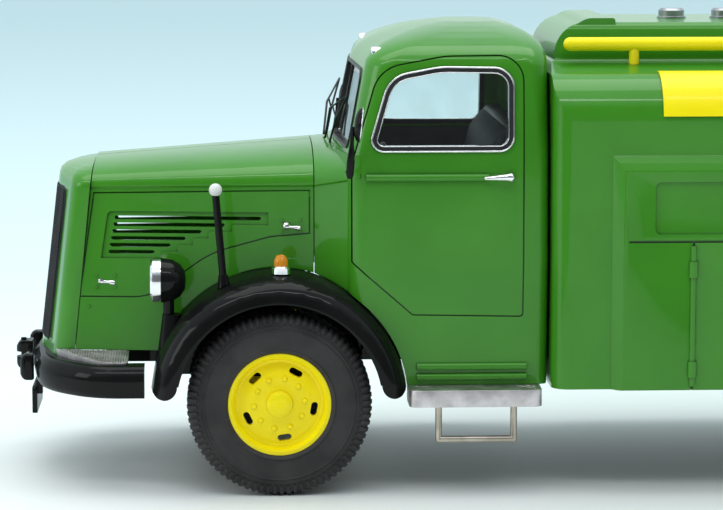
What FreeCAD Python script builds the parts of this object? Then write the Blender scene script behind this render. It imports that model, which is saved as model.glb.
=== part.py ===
"""Die-cast 1:43 model of a bonneted road tanker of the early 1950s.

Frame: +X runs from the front bumper to the tail, -Y is the driver's side, +Z is up.
The origin is on the ground, in the middle of the model's length and width.
While a piece is modelled, X is measured from the front axle; export() moves it to the frame's middle.
All sizes are millimetres of the model, so 1 mm stands for 43 mm of the real lorry.
"""
import FreeCAD, Part
import math
import os
from FreeCAD import Matrix, Vector

# ---------------------------------------------------------------- driving sizes
wheelbase = 108.0
front_overhang = 37.2        # front axle to the tip of the tow jaw
rear_overhang = 41.8         # rear axle to the back of the rear bumper

tyre_radius = 12.6
tyre_width = 6.6
rim_radius = 7.0
front_tyre_y = 22.8          # middle of a front tyre
rear_outer_y = 23.4          # middle of the outer rear tyre
rear_twin_gap = 0.5          # between the two tyres of a rear pair
axle_pin_radius = 1.0
axle_running_clearance = 0.05

cab_front_x = 6.4            # the bulkhead below the windscreen, at the middle
cab_front_sweep = 3.4        # how far the bulkhead curves back at the sides
cab_length = 30.2
cab_half_width = 24.2
cab_floor_z = 14.7
roof_z = 63.7
cab_wall = 1.0
side_bulge_radius = 150.0    # the doors are slightly barrel shaped
side_bulge_z = 32.0
windscreen_base_z = 46.2
windscreen_top_z = 58.0
windscreen_front_x = 8.4     # foot of the glass
windscreen_lean = 2.4        # how far the glass leans back between those two heights
windscreen_sweep = 1.3       # how far the glass curves back at the pillars

bonnet_front_x = -25.4       # at the top of the joint with the radiator shell
bonnet_rear_x = 4.9
bonnet_front_half = 13.2
bonnet_rear_half = 17.2
bonnet_front_top_z = 44.3
bonnet_rear_top_z = 46.5
crease_front_z = 41.0
crease_rear_z = 41.6
crease_step = 0.3            # the top panel overhangs the side panels by this
apron_z = 18.5               # lower edge of the front bodywork
body_wall = 1.0
seam_lean = 2.7              # the radiator joint leans forward towards its foot

radiator_depth = 5.6         # from the joint to the nose, at the crease's height
radiator_nose = 3.0          # the middle of the grille stands this far ahead of the shoulders
nose_radius = 22.0
nose_lean = 0.117            # the nose leans forward by this much for each millimetre down
nose_rounding = 8.0
grille_half_width = 9.6
grille_top_z = 40.6
grille_foot_z = 18.9

fender_lip_radius = 13.9
fender_crest_radius = 17.5
fender_outer_y = 27.3
fender_inner_y = 16.9
fender_wall = 0.8
fender_tip_z = 13.5          # the rounded ends of the wing hang down to here

bumper_half_width = 24.3
bumper_end_x = -18.3
bumper_nose = 17.0
bumper_front_x = -35.0
bumper_foot_z = 13.2
bumper_height = 4.4
bumper_lip = 0.25
tread_inner_y = -14.4
tread_slope = 4.6            # degrees, up towards the bonnet

step_front_x = 17.5
step_length = 18.0
step_outer_y = 27.6
step_thickness = 2.3

tank_gap = 0.3               # between the cab's back and the tank
tank_half_width = 27.0
tank_foot_z = 14.6
tank_top_z = 58.3
tank_wall = 1.2
tank_corner_radius = 8.5
tank_shoulder_radius = 6.4
shoulder_z = 56.2            # the ledge falls to this height at the side
ridge_half_width = 14.6
ridge_front_x = 38.2
deck_z = 63.5
nose_z = 64.1
locker_proud = 1.4           # the lockers stand out from the tank's side by this
locker_top_z = 46.4
locker_front_x = 44.7
arch_clearance = 2.7         # round the rear tyres

rail_radius = 0.95
rail_y = 16.3
rail_z = 60.7
rail_front_x = 39.2
post_count = 5

frame_half_width = 9.0
frame_rail_height = 3.6
frame_rail_width = 1.6
frame_top_z = 19.5

panel_gap = 0.09             # half the width of an engraved joint
panel_depth = 0.35
notch_clearance = 0.15

# ---------------------------------------------------------------- places worked out from them
overall_length = front_overhang + wheelbase + rear_overhang
to_middle_x = front_overhang - overall_length / 2.0
axle_z = tyre_radius
tail_x = wheelbase + rear_overhang
cab_back_x = cab_front_x + cab_length
tank_front_x = cab_back_x + tank_gap
rear_bumper_depth = 3.0
rear_bumper_height = 3.6
tank_back_x = tail_x - rear_bumper_depth
rear_inner_y = rear_outer_y - tyre_width - rear_twin_gap
frame_foot_z = frame_top_z - frame_rail_height
belt_z = 43.2
OUT = "parts"
WIDE = 60.0                  # longer than the model is wide, for cutting tools


# ---------------------------------------------------------------- small helpers
def block(x0, x1, y0, y1, z0, z1):
    """A box between two corners."""
    return Part.makeBox(x1 - x0, y1 - y0, z1 - z0, Vector(x0, y0, z0))


def rod(start, end, radius):
    """A round bar between two points."""
    way = end.sub(start)
    return Part.makeCylinder(radius, way.Length, start, way)


def mirrored(shape):
    """The same piece on the other side of the lorry."""
    return shape.mirror(Vector(0, 0, 0), Vector(0, 1, 0))


def pair(shape):
    """A piece and its mirror image, as two solids of one node."""
    return Part.makeCompound([shape, mirrored(shape)])


def on_xz(y):
    """Places outline points on an upright plane along the lorry."""
    return lambda a, b: Vector(a, y, b)


def on_yz(x):
    """Places outline points on an upright plane across the lorry."""
    return lambda a, b: Vector(x, a, b)


def on_xy(z):
    """Places outline points on a level plane."""
    return lambda a, b: Vector(a, b, z)


def outline(corners, place):
    """A closed wire through corners (a, b, radius), each rounded by a tangent arc."""
    spots = [place(a, b) for a, b, _ in corners]
    edges = []
    first = None
    last = None
    for i, (_, _, radius) in enumerate(corners):
        here = spots[i]
        back = spots[i - 1].sub(here).normalize()
        ahead = spots[(i + 1) % len(spots)].sub(here).normalize()
        if radius < 1e-6:
            start = here
            end = here
            arc = None
        else:
            half = back.getAngle(ahead) / 2.0
            reach = radius / math.tan(half)
            start = here + back * reach
            end = here + ahead * reach
            middle = (back + ahead).normalize()
            arc = Part.Arc(start, here + middle * (radius / math.sin(half) - radius), end)
        if last is not None and last.distanceToPoint(start) > 1e-6:
            edges.append(Part.LineSegment(last, start).toShape())
        if arc is not None:
            edges.append(arc.toShape())
        if first is None:
            first = start
        last = end
    if last.distanceToPoint(first) > 1e-6:
        edges.append(Part.LineSegment(last, first).toShape())
    return Part.Wire(edges)


def grown(corners, by):
    """The same outline, moved outwards by a distance. Corners run either way round."""
    area = 0.0
    for i, (a, b, _) in enumerate(corners):
        na, nb, _ = corners[(i + 1) % len(corners)]
        area += a * nb - na * b
    turn = 1.0 if area > 0 else -1.0
    result = []
    for i, (a, b, radius) in enumerate(corners):
        pa, pb, _ = corners[i - 1]
        na, nb, _ = corners[(i + 1) % len(corners)]
        into = Vector(a - pa, b - pb, 0).normalize()
        away = Vector(na - a, nb - b, 0).normalize()
        normal_in = Vector(into.y, -into.x, 0) * turn
        normal_out = Vector(away.y, -away.x, 0) * turn
        both = normal_in + normal_out
        shift = both * (2.0 * by / both.dot(both))
        convex = (into.x * away.y - into.y * away.x) * turn > 0
        wanted = radius + (by if convex else -by)
        result.append((a + shift.x, b + shift.y, max(wanted, 0.0) if radius > 0 else 0.0))
    return result


def slab(corners, place, way):
    """An outline made solid along a direction."""
    return Part.Face(outline(corners, place)).extrude(way)


def through_sides(corners, y0=-WIDE, y1=WIDE):
    """An outline seen from the side, made solid from y0 to y1."""
    return slab(corners, on_xz(y0), Vector(0, y1 - y0, 0))


def groove_ring(corners):
    """The tool for an engraved joint: a thin ring along an outline seen from the side."""
    return through_sides(grown(corners, panel_gap)).cut(through_sides(grown(corners, -panel_gap)))


def refit(shape, old, new):
    """Stretches a form from one box (x0, x1, y0, y1, z0, z1) to another."""
    scale = [(new[2 * k + 1] - new[2 * k]) / (old[2 * k + 1] - old[2 * k]) for k in range(3)]
    move = [new[2 * k] - old[2 * k] * scale[k] for k in range(3)]
    matrix = Matrix(scale[0], 0, 0, move[0], 0, scale[1], 0, move[1], 0, 0, scale[2], move[2])
    return shape.transformGeometry(matrix)


def lathe(points, x, z, start_y=0.0):
    """A solid turned about the cross axis at (x, z), from points (radius, y)."""
    spots = [Vector(x + radius, y + start_y, z) for radius, y in points]
    face = Part.Face(Part.makePolygon(spots + [spots[0]]))
    return face.revolve(Vector(x, 0, z), Vector(0, 1, 0), 360)


def lathe_x(points, y, z):
    """A solid turned about a lengthwise axis at (y, z), from points (radius, x)."""
    spots = [Vector(x, y, z + radius) for radius, x in points]
    face = Part.Face(Part.makePolygon(spots + [spots[0]]))
    return face.revolve(Vector(0, y, z), Vector(1, 0, 0), 360)


def lathe_z(points, x, y):
    """A solid turned about an upright axis at (x, y), from points (radius, z)."""
    spots = [Vector(x + radius, y, z) for radius, z in points]
    face = Part.Face(Part.makePolygon(spots + [spots[0]]))
    return face.revolve(Vector(x, y, 0), Vector(0, 0, 1), 360)


def export(name, shape):
    """Moves a node to the frame's middle, tests it and writes its STEP file."""
    moved = shape.copy()
    moved.translate(Vector(to_middle_x, 0, 0))
    solids = moved.Solids
    if not solids or not moved.isValid() or min(s.Volume for s in solids) <= 0:
        raise ValueError("node %s is not a valid solid" % name)
    if len(solids) == 1:
        moved = solids[0]
    else:
        moved = Part.makeCompound(solids)
    moved.exportStep(os.path.join(OUT, name + ".step"))
    print("%-22s %2d solids %9.2f mm3" % (name, len(solids), sum(s.Volume for s in solids)))


# ---------------------------------------------------------------- cab
cab_box = (cab_front_x, cab_back_x, -cab_half_width, cab_half_width, cab_floor_z, roof_z)
window_corners = [
    (13.0, 47.4, 0.9),
    (31.1, 47.4, 1.3),
    (31.15, 57.15, 2.0),
    (22.0, 57.3, 12.0),
    (15.6, 56.1, 3.2),
]
window_gasket = 0.75
screen_gasket = 0.35
door_corners = [
    (9.9, 31.7, 0.4),
    (18.1, 24.5, 0.6),
    (33.1, 24.2, 0.5),
    (33.2, 59.5, 3.4),
    (22.5, 59.4, 14.0),
    (13.7, 57.8, 4.6),
    (9.9, 45.0, 3.0),
]
pane_corners = [
    (1.0, 47.4, 1.0),
    (19.6, 47.0, 1.6),
    (17.6, 57.2, 1.8),
    (1.0, 57.7, 0.8),
]
rear_pane_corners = [
    (-11.0, 47.0, 2.0),
    (11.0, 47.0, 2.0),
    (11.0, 56.0, 2.4),
    (-11.0, 56.0, 2.4),
]


def cab_half(z):
    """Half the cab's width at a height: barrel shaped doors."""
    return cab_half_width - side_bulge_radius + math.sqrt(side_bulge_radius ** 2 - (z - side_bulge_z) ** 2)


def cab_plan(z, front, back, half, front_radius, back_radius, full_sweep):
    """A level outline of the cab: bowed in front, square behind, rounded at the four corners."""
    sweep = full_sweep * half / cab_half_width
    front_radius = min(front_radius, 0.4 * half)
    back_radius = min(back_radius, 0.4 * half)
    corners = [
        (back, -half, back_radius),
        (front + sweep, -half, front_radius),
        (front - 0.25 * sweep, 0.0, 2.0 * half),
        (front + sweep, half, front_radius),
        (back, half, back_radius),
    ]
    return outline(corners, on_xy(z))


def cab_form():
    """The cab's outer form: barrel sides, leaning windscreen and a domed roof."""
    foot = []
    for share in (0.0, 0.55, 1.0):
        z = cab_floor_z + (windscreen_base_z - cab_floor_z) * share
        foot.append(cab_plan(z, cab_front_x, cab_back_x, cab_half(z), 2.6, 1.6, cab_front_sweep))
    screen = []
    for share in (0.0, 0.5, 1.0):
        z = windscreen_base_z + (windscreen_top_z - windscreen_base_z) * share
        front = windscreen_front_x + windscreen_lean * share
        screen.append(cab_plan(z, front, cab_back_x, cab_half(z), 2.6 + share, 1.6 + share, windscreen_sweep))
    dome_half = cab_half(windscreen_top_z)
    dome_front = windscreen_front_x + windscreen_lean
    dome_middle = cab_front_x + 0.7 * cab_length
    dome = [screen[-1]]
    for share in (0.16, 0.34, 0.5, 0.64, 0.77, 0.87, 0.95):
        z = windscreen_top_z + (roof_z - windscreen_top_z) * share
        side = (1.0 - share ** 2.3) ** 0.5
        front = dome_middle - (dome_middle - dome_front) * (1.0 - share ** 2.0) ** 0.58
        back = dome_middle + (cab_back_x - dome_middle) * (1.0 - share ** 3.0) ** 0.5
        dome.append(cab_plan(z, front, back, dome_half * side, 3.6 + 1.2 * share, 2.6 + 2.0 * share,
                             windscreen_sweep))
    form = Part.makeLoft(foot, True, True)
    form = form.fuse([Part.makeLoft(screen, True, True), Part.makeLoft(dome, True, True)])
    return form.removeSplitter().Solids[0]


def cab_layer(form, inset):
    """The cab's form moved inwards all round, with its floor left open."""
    x0, x1, y0, y1, z0, z1 = cab_box
    new = (x0 + inset, x1 - inset, y0 + inset, y1 - inset, z0 - 1.0, z1 - inset)
    return refit(form, cab_box, new)


def body_section(x, half, top_z, crease_z, foot_half):
    """The cross section of the bonnet and scuttle at x: side, crease and rounded top panel."""
    side_half = half - crease_step
    foot_left = Vector(x, -foot_half, apron_z)
    foot_right = Vector(x, foot_half, apron_z)
    under_left = Vector(x, -side_half, crease_z - crease_step)
    under_right = Vector(x, side_half, crease_z - crease_step)
    crease_left = Vector(x, -half, crease_z)
    crease_right = Vector(x, half, crease_z)
    rise = top_z - crease_z
    crown = []
    steps = 12
    for k in range(steps + 1):
        t = math.pi * k / steps
        reach = abs(math.cos(t)) ** 0.8 * math.copysign(1.0, math.cos(t))
        crown.append(Vector(x, half * reach, crease_z + rise * math.sin(t) ** 0.8))
    crown[0] = crease_right
    crown[steps // 2] = Vector(x, 0, top_z)
    crown[-1] = crease_left
    top = Part.BSplineCurve()
    top.interpolate(crown)
    return Part.Wire([
        Part.LineSegment(foot_left, foot_right).toShape(),
        Part.LineSegment(foot_right, under_right).toShape(),
        Part.LineSegment(under_right, crease_right).toShape(),
        top.toShape(),
        Part.LineSegment(crease_left, under_left).toShape(),
        Part.LineSegment(under_left, foot_left).toShape(),
    ])


def scuttle_form(inset):
    """The flare that joins the narrow bonnet to the wide cab."""
    sections = [
        body_section(bonnet_rear_x + 0.12, bonnet_rear_half - inset, bonnet_rear_top_z - inset,
                     crease_rear_z, bonnet_rear_half + 0.2 - inset),
        body_section(cab_front_x + 4.6, cab_half_width - 0.5 - inset, bonnet_rear_top_z + 0.2 - inset,
                     belt_z, cab_half_width - 0.6 - inset),
    ]
    return Part.makeLoft(sections, True, True)


def wheel_well(radius):
    """The round space over a front wheel, right across the lorry."""
    return Part.makeCylinder(radius, 2 * WIDE, Vector(0, -WIDE, axle_z), Vector(0, 1, 0))


def frame_notch(x0, x1):
    """Room for the frame where it runs through a wall that hangs lower than its top."""
    half = frame_half_width + notch_clearance
    return block(x0, x1, -half, half, 0, frame_top_z + 0.05)


def cab_shell(form, layers):
    """The green casting of the cab, with its openings and engraved door joints."""
    shell = form.fuse(scuttle_form(0.0))
    shell = shell.cut(layers[cab_wall])
    hollow = scuttle_form(body_wall).common(block(bonnet_rear_x, 20, -WIDE, WIDE, 0, windscreen_base_z - 1.2))
    shell = shell.cut(hollow)
    shell = shell.cut(wheel_well(fender_crest_radius + 0.05))
    shell = shell.cut(block(-WIDE, cab_front_x + 4.0, -WIDE, WIDE, 0, apron_z))
    shell = shell.cut(through_sides(grown(window_corners, window_gasket)))
    screen = slab(grown(pane_corners, screen_gasket), on_yz(-10), Vector(32, 0, 0))
    shell = shell.cut(screen).cut(mirrored(screen))
    shell = shell.cut(slab(rear_pane_corners, on_yz(cab_back_x - 4), Vector(8, 0, 0)))
    shell = shell.cut(groove_ring(door_corners).cut(layers[panel_depth]))
    bead_y = cab_half_width - 0.35
    for side in (-1, 1):
        bead = rod(Vector(cab_front_x + 5.4, side * bead_y, belt_z), Vector(28.4, side * bead_y, belt_z), 0.5)
        shell = shell.fuse(bead)
        for rib_z, height in ((17.3, 0.5), (15.9, 0.45)):
            rib_y = cab_half_width - 0.75
            rib = rod(Vector(step_front_x + 1.2, side * rib_y, rib_z),
                      Vector(step_front_x + 16.2, side * rib_y, rib_z), height)
            shell = shell.fuse(rib)
    shell = shell.cut(layers[cab_wall])
    shell = shell.cut(frame_notch(cab_back_x - 4, cab_back_x + 1))
    return max(shell.Solids, key=lambda s: s.Volume)


# ---------------------------------------------------------------- bonnet and radiator
panel_corners = [
    (-27.4, 25.9, 0.0),
    (-17.6, 25.9, 7.0),
    (-9.4, 32.0, 14.0),
    (-1.0, 34.4, 10.0),
    (4.35, 34.9, 0.0),
    (4.35, 40.8, 0.0),
    (-25.3, 40.2, 0.0),
]
slot_rise = 0.95
slot_height = 0.5
slot_tails = (-2.3, -7.3, -10.5, -12.7, -14.8, -17.0)
slot_front_x = -22.5
slot_top_z = 36.8
latch_spots = ((-23.8, 28.05), (1.75, 35.9))


def bonnet_form(inset):
    """The bonnet's outer form, wider and higher towards the cab."""
    lead = 6.0               # the form runs on forwards, and the leaning joint cuts it
    x0 = bonnet_front_x - lead
    slope = (bonnet_rear_half - bonnet_front_half) / (bonnet_rear_x - bonnet_front_x)
    rise = (bonnet_rear_top_z - bonnet_front_top_z) / (bonnet_rear_x - bonnet_front_x)
    front_half = bonnet_front_half - lead * slope
    sections = [
        body_section(x0, front_half - inset, bonnet_front_top_z - lead * rise - inset,
                     crease_front_z - inset * 0.5, front_half + 1.4 - inset),
        body_section(bonnet_rear_x, bonnet_rear_half - inset, bonnet_rear_top_z - inset,
                     crease_rear_z - inset * 0.5, bonnet_rear_half + 0.2 - inset),
    ]
    form = Part.makeLoft(sections, True, True)
    if inset > 0:
        lower = form.copy()
        lower.translate(Vector(0, 0, -1.5))
        form = form.fuse(lower)
    return form


def seam_plane_block(shift, reach):
    """Everything in front of the leaning joint between radiator shell and bonnet."""
    top_z = 50.0
    lean = seam_lean / (bonnet_front_top_z - apron_z)
    top_x = bonnet_front_x + (top_z - bonnet_front_top_z) * lean + shift
    foot_x = bonnet_front_x - bonnet_front_top_z * lean + shift
    corners = [(top_x, top_z, 0), (foot_x, 0.0, 0), (foot_x - reach, 0.0, 0), (top_x - reach, top_z, 0)]
    return through_sides(corners)


def louvre_outline():
    """The stepped panel that holds the louvres: one step down for each shorter slot."""
    corners = [(slot_front_x - 0.9, slot_top_z + 0.9, 0.7), (slot_front_x - 1.9, slot_top_z - 5.9 * slot_rise, 0.0)]
    for k in range(len(slot_tails) - 1, -1, -1):
        tail_x = slot_tails[k] + 1.0
        floor_z = slot_top_z - k * slot_rise - slot_rise * 0.9
        roof = slot_top_z - k * slot_rise + (slot_rise * 0.1 if k else 0.9)
        corners.append((tail_x, floor_z, 0.0))
        corners.append((tail_x, roof, 0.0))
    return corners


def bonnet_shell():
    """The bonnet casting: engraved panel joints, a sunk louvre panel and its slots."""
    outer = bonnet_form(0.0)
    shell = outer.cut(bonnet_form(body_wall)).cut(seam_plane_block(0.06, 20.0))
    skin = bonnet_form(panel_depth)
    shell = shell.cut(groove_ring(panel_corners).cut(skin))
    shell = shell.cut(through_sides(louvre_outline()).cut(skin))
    for k, tail in enumerate(slot_tails):
        z = slot_top_z - k * slot_rise
        front = slot_front_x - 0.17 * k
        r = slot_height / 2.0
        slot = [(front, z - r, r * 0.98), (tail, z - r, r * 0.98), (tail, z + r, r * 0.98), (front, z + r, r * 0.98)]
        shell = shell.cut(through_sides(slot))
    hinge = block(bonnet_front_x - 5, bonnet_rear_x + 1, -0.12, 0.12, bonnet_front_top_z - 0.9, 60)
    shell = shell.cut(hinge.cut(bonnet_form(0.25)))
    heads = [(-26.1, 24.55), (-26.3, 22.6)]
    for x, z in latch_spots:
        heads += [(x - 1.25, z - 0.8), (x - 1.25, z + 0.8), (x + 1.35, z - 0.8), (x + 1.35, z + 0.8)]
    raised = bonnet_form(-0.16)
    rivets = [through_sides([(x - 0.2, z - 0.2, 0.15), (x + 0.2, z - 0.2, 0.15), (x + 0.2, z + 0.2, 0.15),
                             (x - 0.2, z + 0.2, 0.15)]).common(raised).cut(bonnet_form(0.5)) for x, z in heads]
    shell = shell.fuse([solid for rivet in rivets for solid in rivet.Solids])
    return max(shell.Solids, key=lambda s: s.Volume)


def crown_half(z):
    """Half the width of the bonnet's front section at a height above the crease."""
    share = (z - crease_front_z) / (bonnet_front_top_z - crease_front_z)
    if share <= 0:
        return bonnet_front_half
    sine = min(share ** 1.25, 1.0)
    return bonnet_front_half * (1.0 - sine ** 2) ** 0.4


def radiator_plan(z, inset):
    """A level outline of the radiator shell: a blunt bow with rounded shoulders."""
    share = max(z - crease_front_z, 0.0) / (bonnet_front_top_z - crease_front_z)
    half = crown_half(z) + 0.5 * (1.0 - min(share, 1.0)) - inset
    nose = bonnet_front_x - radiator_depth - (crease_front_z - z) * nose_lean
    nose = nose + nose_rounding * share ** 6 + inset
    shoulder = nose + radiator_nose
    back = bonnet_front_x + 12.0
    bow = nose_radius * half / bonnet_front_half
    slant = math.atan(radiator_nose / half)
    corners = [
        (back, -half, 0.0),
        (shoulder, -half, min(2.6, 0.3 * half)),
        (nose - bow * (1.0 / math.cos(slant) - 1.0), 0.0, bow),
        (shoulder, half, min(2.6, 0.3 * half)),
        (back, half, 0.0),
    ]
    return outline(corners, on_xy(z))


def radiator_form(inset, foot_z, with_crown):
    """The radiator's outer form, moved inwards by the inset."""
    form = Part.makeLoft([radiator_plan(z, inset) for z in (foot_z, crease_front_z)], True, True)
    if not with_crown:
        return form
    heights = []
    for share in (0.0, 0.3, 0.5, 0.64, 0.75, 0.84, 0.91, 0.96):
        heights.append(crease_front_z + (bonnet_front_top_z - crease_front_z) * share)
    return form.fuse(Part.makeLoft([radiator_plan(z, inset) for z in heights], True, True))


def mouth(slack):
    """The grille's opening in the radiator shell."""
    top = grille_half_width + slack
    foot = grille_half_width - 1.0 + slack
    corners = [
        (-foot, grille_foot_z - slack, 1.2),
        (foot, grille_foot_z - slack, 1.2),
        (top, grille_top_z + slack, 2.2),
        (-top, grille_top_z + slack, 2.2),
    ]
    return slab(corners, on_yz(-WIDE), Vector(WIDE + bonnet_front_x - 1.0, 0, 0))


def radiator_shell():
    """The body coloured surround of the grille."""
    shape = radiator_form(0.0, bumper_foot_z + bumper_height, True).common(seam_plane_block(-0.06, 40.0))
    shape = shape.cut(radiator_form(body_wall, apron_z - 1.0, False)).cut(mouth(0.0))
    return max(shape.Solids, key=lambda s: s.Volume)


def grille():
    """The dark insert that fills the mouth and follows the shell's bow."""
    face = radiator_form(0.12, apron_z - 0.5, False).cut(radiator_form(body_wall + 0.6, apron_z - 1.0, False))
    shape = face.common(mouth(-0.03))
    flange = radiator_form(body_wall + 0.02, apron_z + 0.1, False)
    flange = flange.cut(radiator_form(body_wall + 0.6, apron_z - 1.0, False))
    reach = grille_half_width + 0.9
    keep = block(-WIDE, bonnet_front_x - 1.8, -reach, reach, 0, crease_front_z - 0.1)
    shape = shape.fuse(flange.common(keep))
    return max(shape.Solids, key=lambda s: s.Volume)


# ---------------------------------------------------------------- chassis
lug_half_length = 2.0
lug_foot_z = 10.6
rail_front_end_x = -24.0
cross_member_x = (-22.5, 14.0, 42.0, 78.0, 134.0)
cross_member_length = 3.0
pad_thickness = 1.2
spring_leaf = 0.6
spring_half_length = 13.0
screw_x = (14.0, 42.0, 134.0)
screw_head_radius = 1.7
screw_shank_radius = 0.9
plinth_screw_radius = 1.25
plinth_hole_x = (26.0, 66.0)


def chassis_frame():
    """Two rails, their cross members, the axle lugs and two bosses for a plinth's screws."""
    inner = frame_half_width - frame_rail_width
    back = tank_back_x - tank_wall - 0.3
    shape = block(rail_front_end_x, back, -frame_half_width, -inner, frame_foot_z, frame_top_z)
    shape = shape.fuse(mirrored(shape))
    for x in cross_member_x:
        half = cross_member_length / 2.0
        shape = shape.fuse(block(x - half, x + half, -inner - 0.5, inner + 0.5, frame_foot_z + 0.6, frame_top_z))
    for x in plinth_hole_x:
        shape = shape.fuse(block(x - 3.2, x + 3.2, -inner - 0.5, inner + 0.5, frame_foot_z, frame_top_z))
        hole = rod(Vector(x, 0, frame_foot_z - 1), Vector(x, 0, frame_top_z - 0.8), plinth_screw_radius)
        shape = shape.cut(hole)
    for x in (0.0, wheelbase):
        for side in (-1, 1):
            lug = block(x - lug_half_length, x + lug_half_length,
                        min(side * inner, side * frame_half_width), max(side * inner, side * frame_half_width),
                        lug_foot_z, frame_foot_z + 0.5)
            shape = shape.fuse(lug)
        bore = axle_pin_radius + axle_running_clearance
        shape = shape.cut(rod(Vector(x, -WIDE, axle_z), Vector(x, WIDE, axle_z), bore))
    for x in screw_x:
        shape = shape.cut(rod(Vector(x, 0, 0), Vector(x, 0, WIDE), screw_shank_radius))
    return shape


def base_plate():
    """The plate that closes the tank shell from below."""
    x0 = tank_front_x + tank_wall + panel_gap
    x1 = tank_back_x - tank_wall - 0.3
    half = tank_half_width - tank_wall - 0.2
    plate = slab([(x0, -half, 3.2), (x1, -half, 7.6), (x1, half, 7.6), (x0, half, 3.2)],
                 on_xy(frame_top_z), Vector(0, 0, pad_thickness))
    well = rod(Vector(wheelbase, -WIDE, axle_z), Vector(wheelbase, WIDE, axle_z), arch_radius() + liner_wall)
    well = well.cut(block(-WIDE, 4 * WIDE, -liner_inner_y, liner_inner_y, 0, WIDE))
    plate = plate.cut(well)
    for x in screw_x[1:]:
        plate = plate.cut(rod(Vector(x, 0, 0), Vector(x, 0, WIDE), screw_shank_radius))
    return plate


def leaf_spring(x):
    """A stack of bent leaves above the axle, its two eyes pinned to the rail."""
    y0 = frame_half_width + 0.5
    y1 = y0 + 2.0
    lowest = axle_z + axle_pin_radius + 0.5
    radius = 62.0
    stack = None
    for k, share in enumerate((0.45, 0.7, 1.0)):
        reach = spring_half_length * share
        ring = Part.makeCylinder(radius - k * spring_leaf, y1 - y0, Vector(x, y0, lowest + radius), Vector(0, 1, 0))
        core = Part.makeCylinder(radius - (k + 1) * spring_leaf, y1 - y0, Vector(x, y0, lowest + radius),
                                 Vector(0, 1, 0))
        leaf = ring.cut(core).common(block(x - reach, x + reach, y0, y1, 0, lowest + 6))
        stack = leaf if stack is None else stack.fuse(leaf)
    for way in (-1, 1):
        reach = spring_half_length * 0.97
        rise = radius - math.sqrt(radius ** 2 - reach ** 2)
        eye = rod(Vector(x + way * reach, frame_half_width, lowest + rise + 2.0),
                  Vector(x + way * reach, y1, lowest + rise + 2.0), 0.8)
        stack = stack.fuse(eye)
    return stack


def body_screws():
    """The screws that hold cab and tank to the frame, entered from below."""
    screws = []
    for x in screw_x:
        head = [(0, frame_foot_z - 0.3), (1.2, frame_foot_z - 0.3), (screw_head_radius, frame_foot_z),
                (screw_head_radius, frame_foot_z + 0.6), (screw_shank_radius - 0.02, frame_foot_z + 0.6),
                (screw_shank_radius - 0.02, frame_top_z + 0.8), (0, frame_top_z + 0.8)]
        screw = lathe_z(head, x, 0)
        screws.append(screw.cut(block(x - 1.3, x + 1.3, -0.2, 0.2, 0, frame_foot_z + 0.1)))
    return Part.makeCompound(screws)


# ---------------------------------------------------------------- wheels
rim_flange = 0.5
disc_nut_circle = 3.47
disc_nut_radius = 0.42
nut_count = 10
hand_hole_circle = 4.75
hub_cap_radius = 1.83
pin_tip_depth = 1.5          # how far a pin reaches into its wheel, past the tyre's middle


def tyre(x, y_middle):
    """A bus tyre with rounded shoulders, three tread grooves and a bead that grips the rim."""
    h = tyre_width / 2.0
    r = tyre_radius
    profile = [
        (rim_radius, -h + 0.6), (rim_radius + 0.6, -h + 0.25), (rim_radius + 2.0, -h), (r - 1.8, -h),
        (r - 0.7, -h + 0.35), (r - 0.2, -h + 0.8), (r, -h + 1.3),
        (r, -1.15), (r - 0.45, -1.05), (r - 0.45, -0.85), (r, -0.75),
        (r, 0.75), (r - 0.45, 0.85), (r - 0.45, 1.05), (r, 1.15),
        (r, h - 1.3), (r - 0.2, h - 0.8), (r - 0.7, h - 0.35),
        (r - 1.8, h), (rim_radius + 2.0, h), (rim_radius + 0.6, h - 0.25), (rim_radius, h - 0.6),
    ]
    return lathe([(a, y_middle + b) for a, b in profile], x, axle_z)


def wheel_face_cuts(x, y0, y1):
    """Five oval hand holes through the disc."""
    cuts = []
    for k in range(5):
        angle = math.radians(-10 + 72 * k)
        spot = Vector(x + hand_hole_circle * math.cos(angle), y0, axle_z + hand_hole_circle * math.sin(angle))
        hole = Part.makeCylinder(0.45, y1 - y0, Vector(-0.5, 0, 0), Vector(0, 1, 0))
        hole = hole.fuse([Part.makeCylinder(0.45, y1 - y0, Vector(0.5, 0, 0), Vector(0, 1, 0)),
                          block(-0.5, 0.5, 0, y1 - y0, -0.45, 0.45)])
        hole.rotate(Vector(0, 0, 0), Vector(0, 1, 0), 90 - math.degrees(angle))
        hole.translate(spot)
        cuts.append(hole)
    return cuts


def wheel_nuts(x, y_face, outward):
    """Ten domed nuts round the hub."""
    nuts = []
    for k in range(nut_count):
        angle = math.radians(6 + 360.0 / nut_count * k)
        spot = Vector(x + disc_nut_circle * math.cos(angle), y_face - outward * 0.1,
                      axle_z + disc_nut_circle * math.sin(angle))
        nuts.append(Part.makeCone(disc_nut_radius, disc_nut_radius * 0.6, 0.6, spot, Vector(0, outward, 0)))
    return nuts


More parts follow.
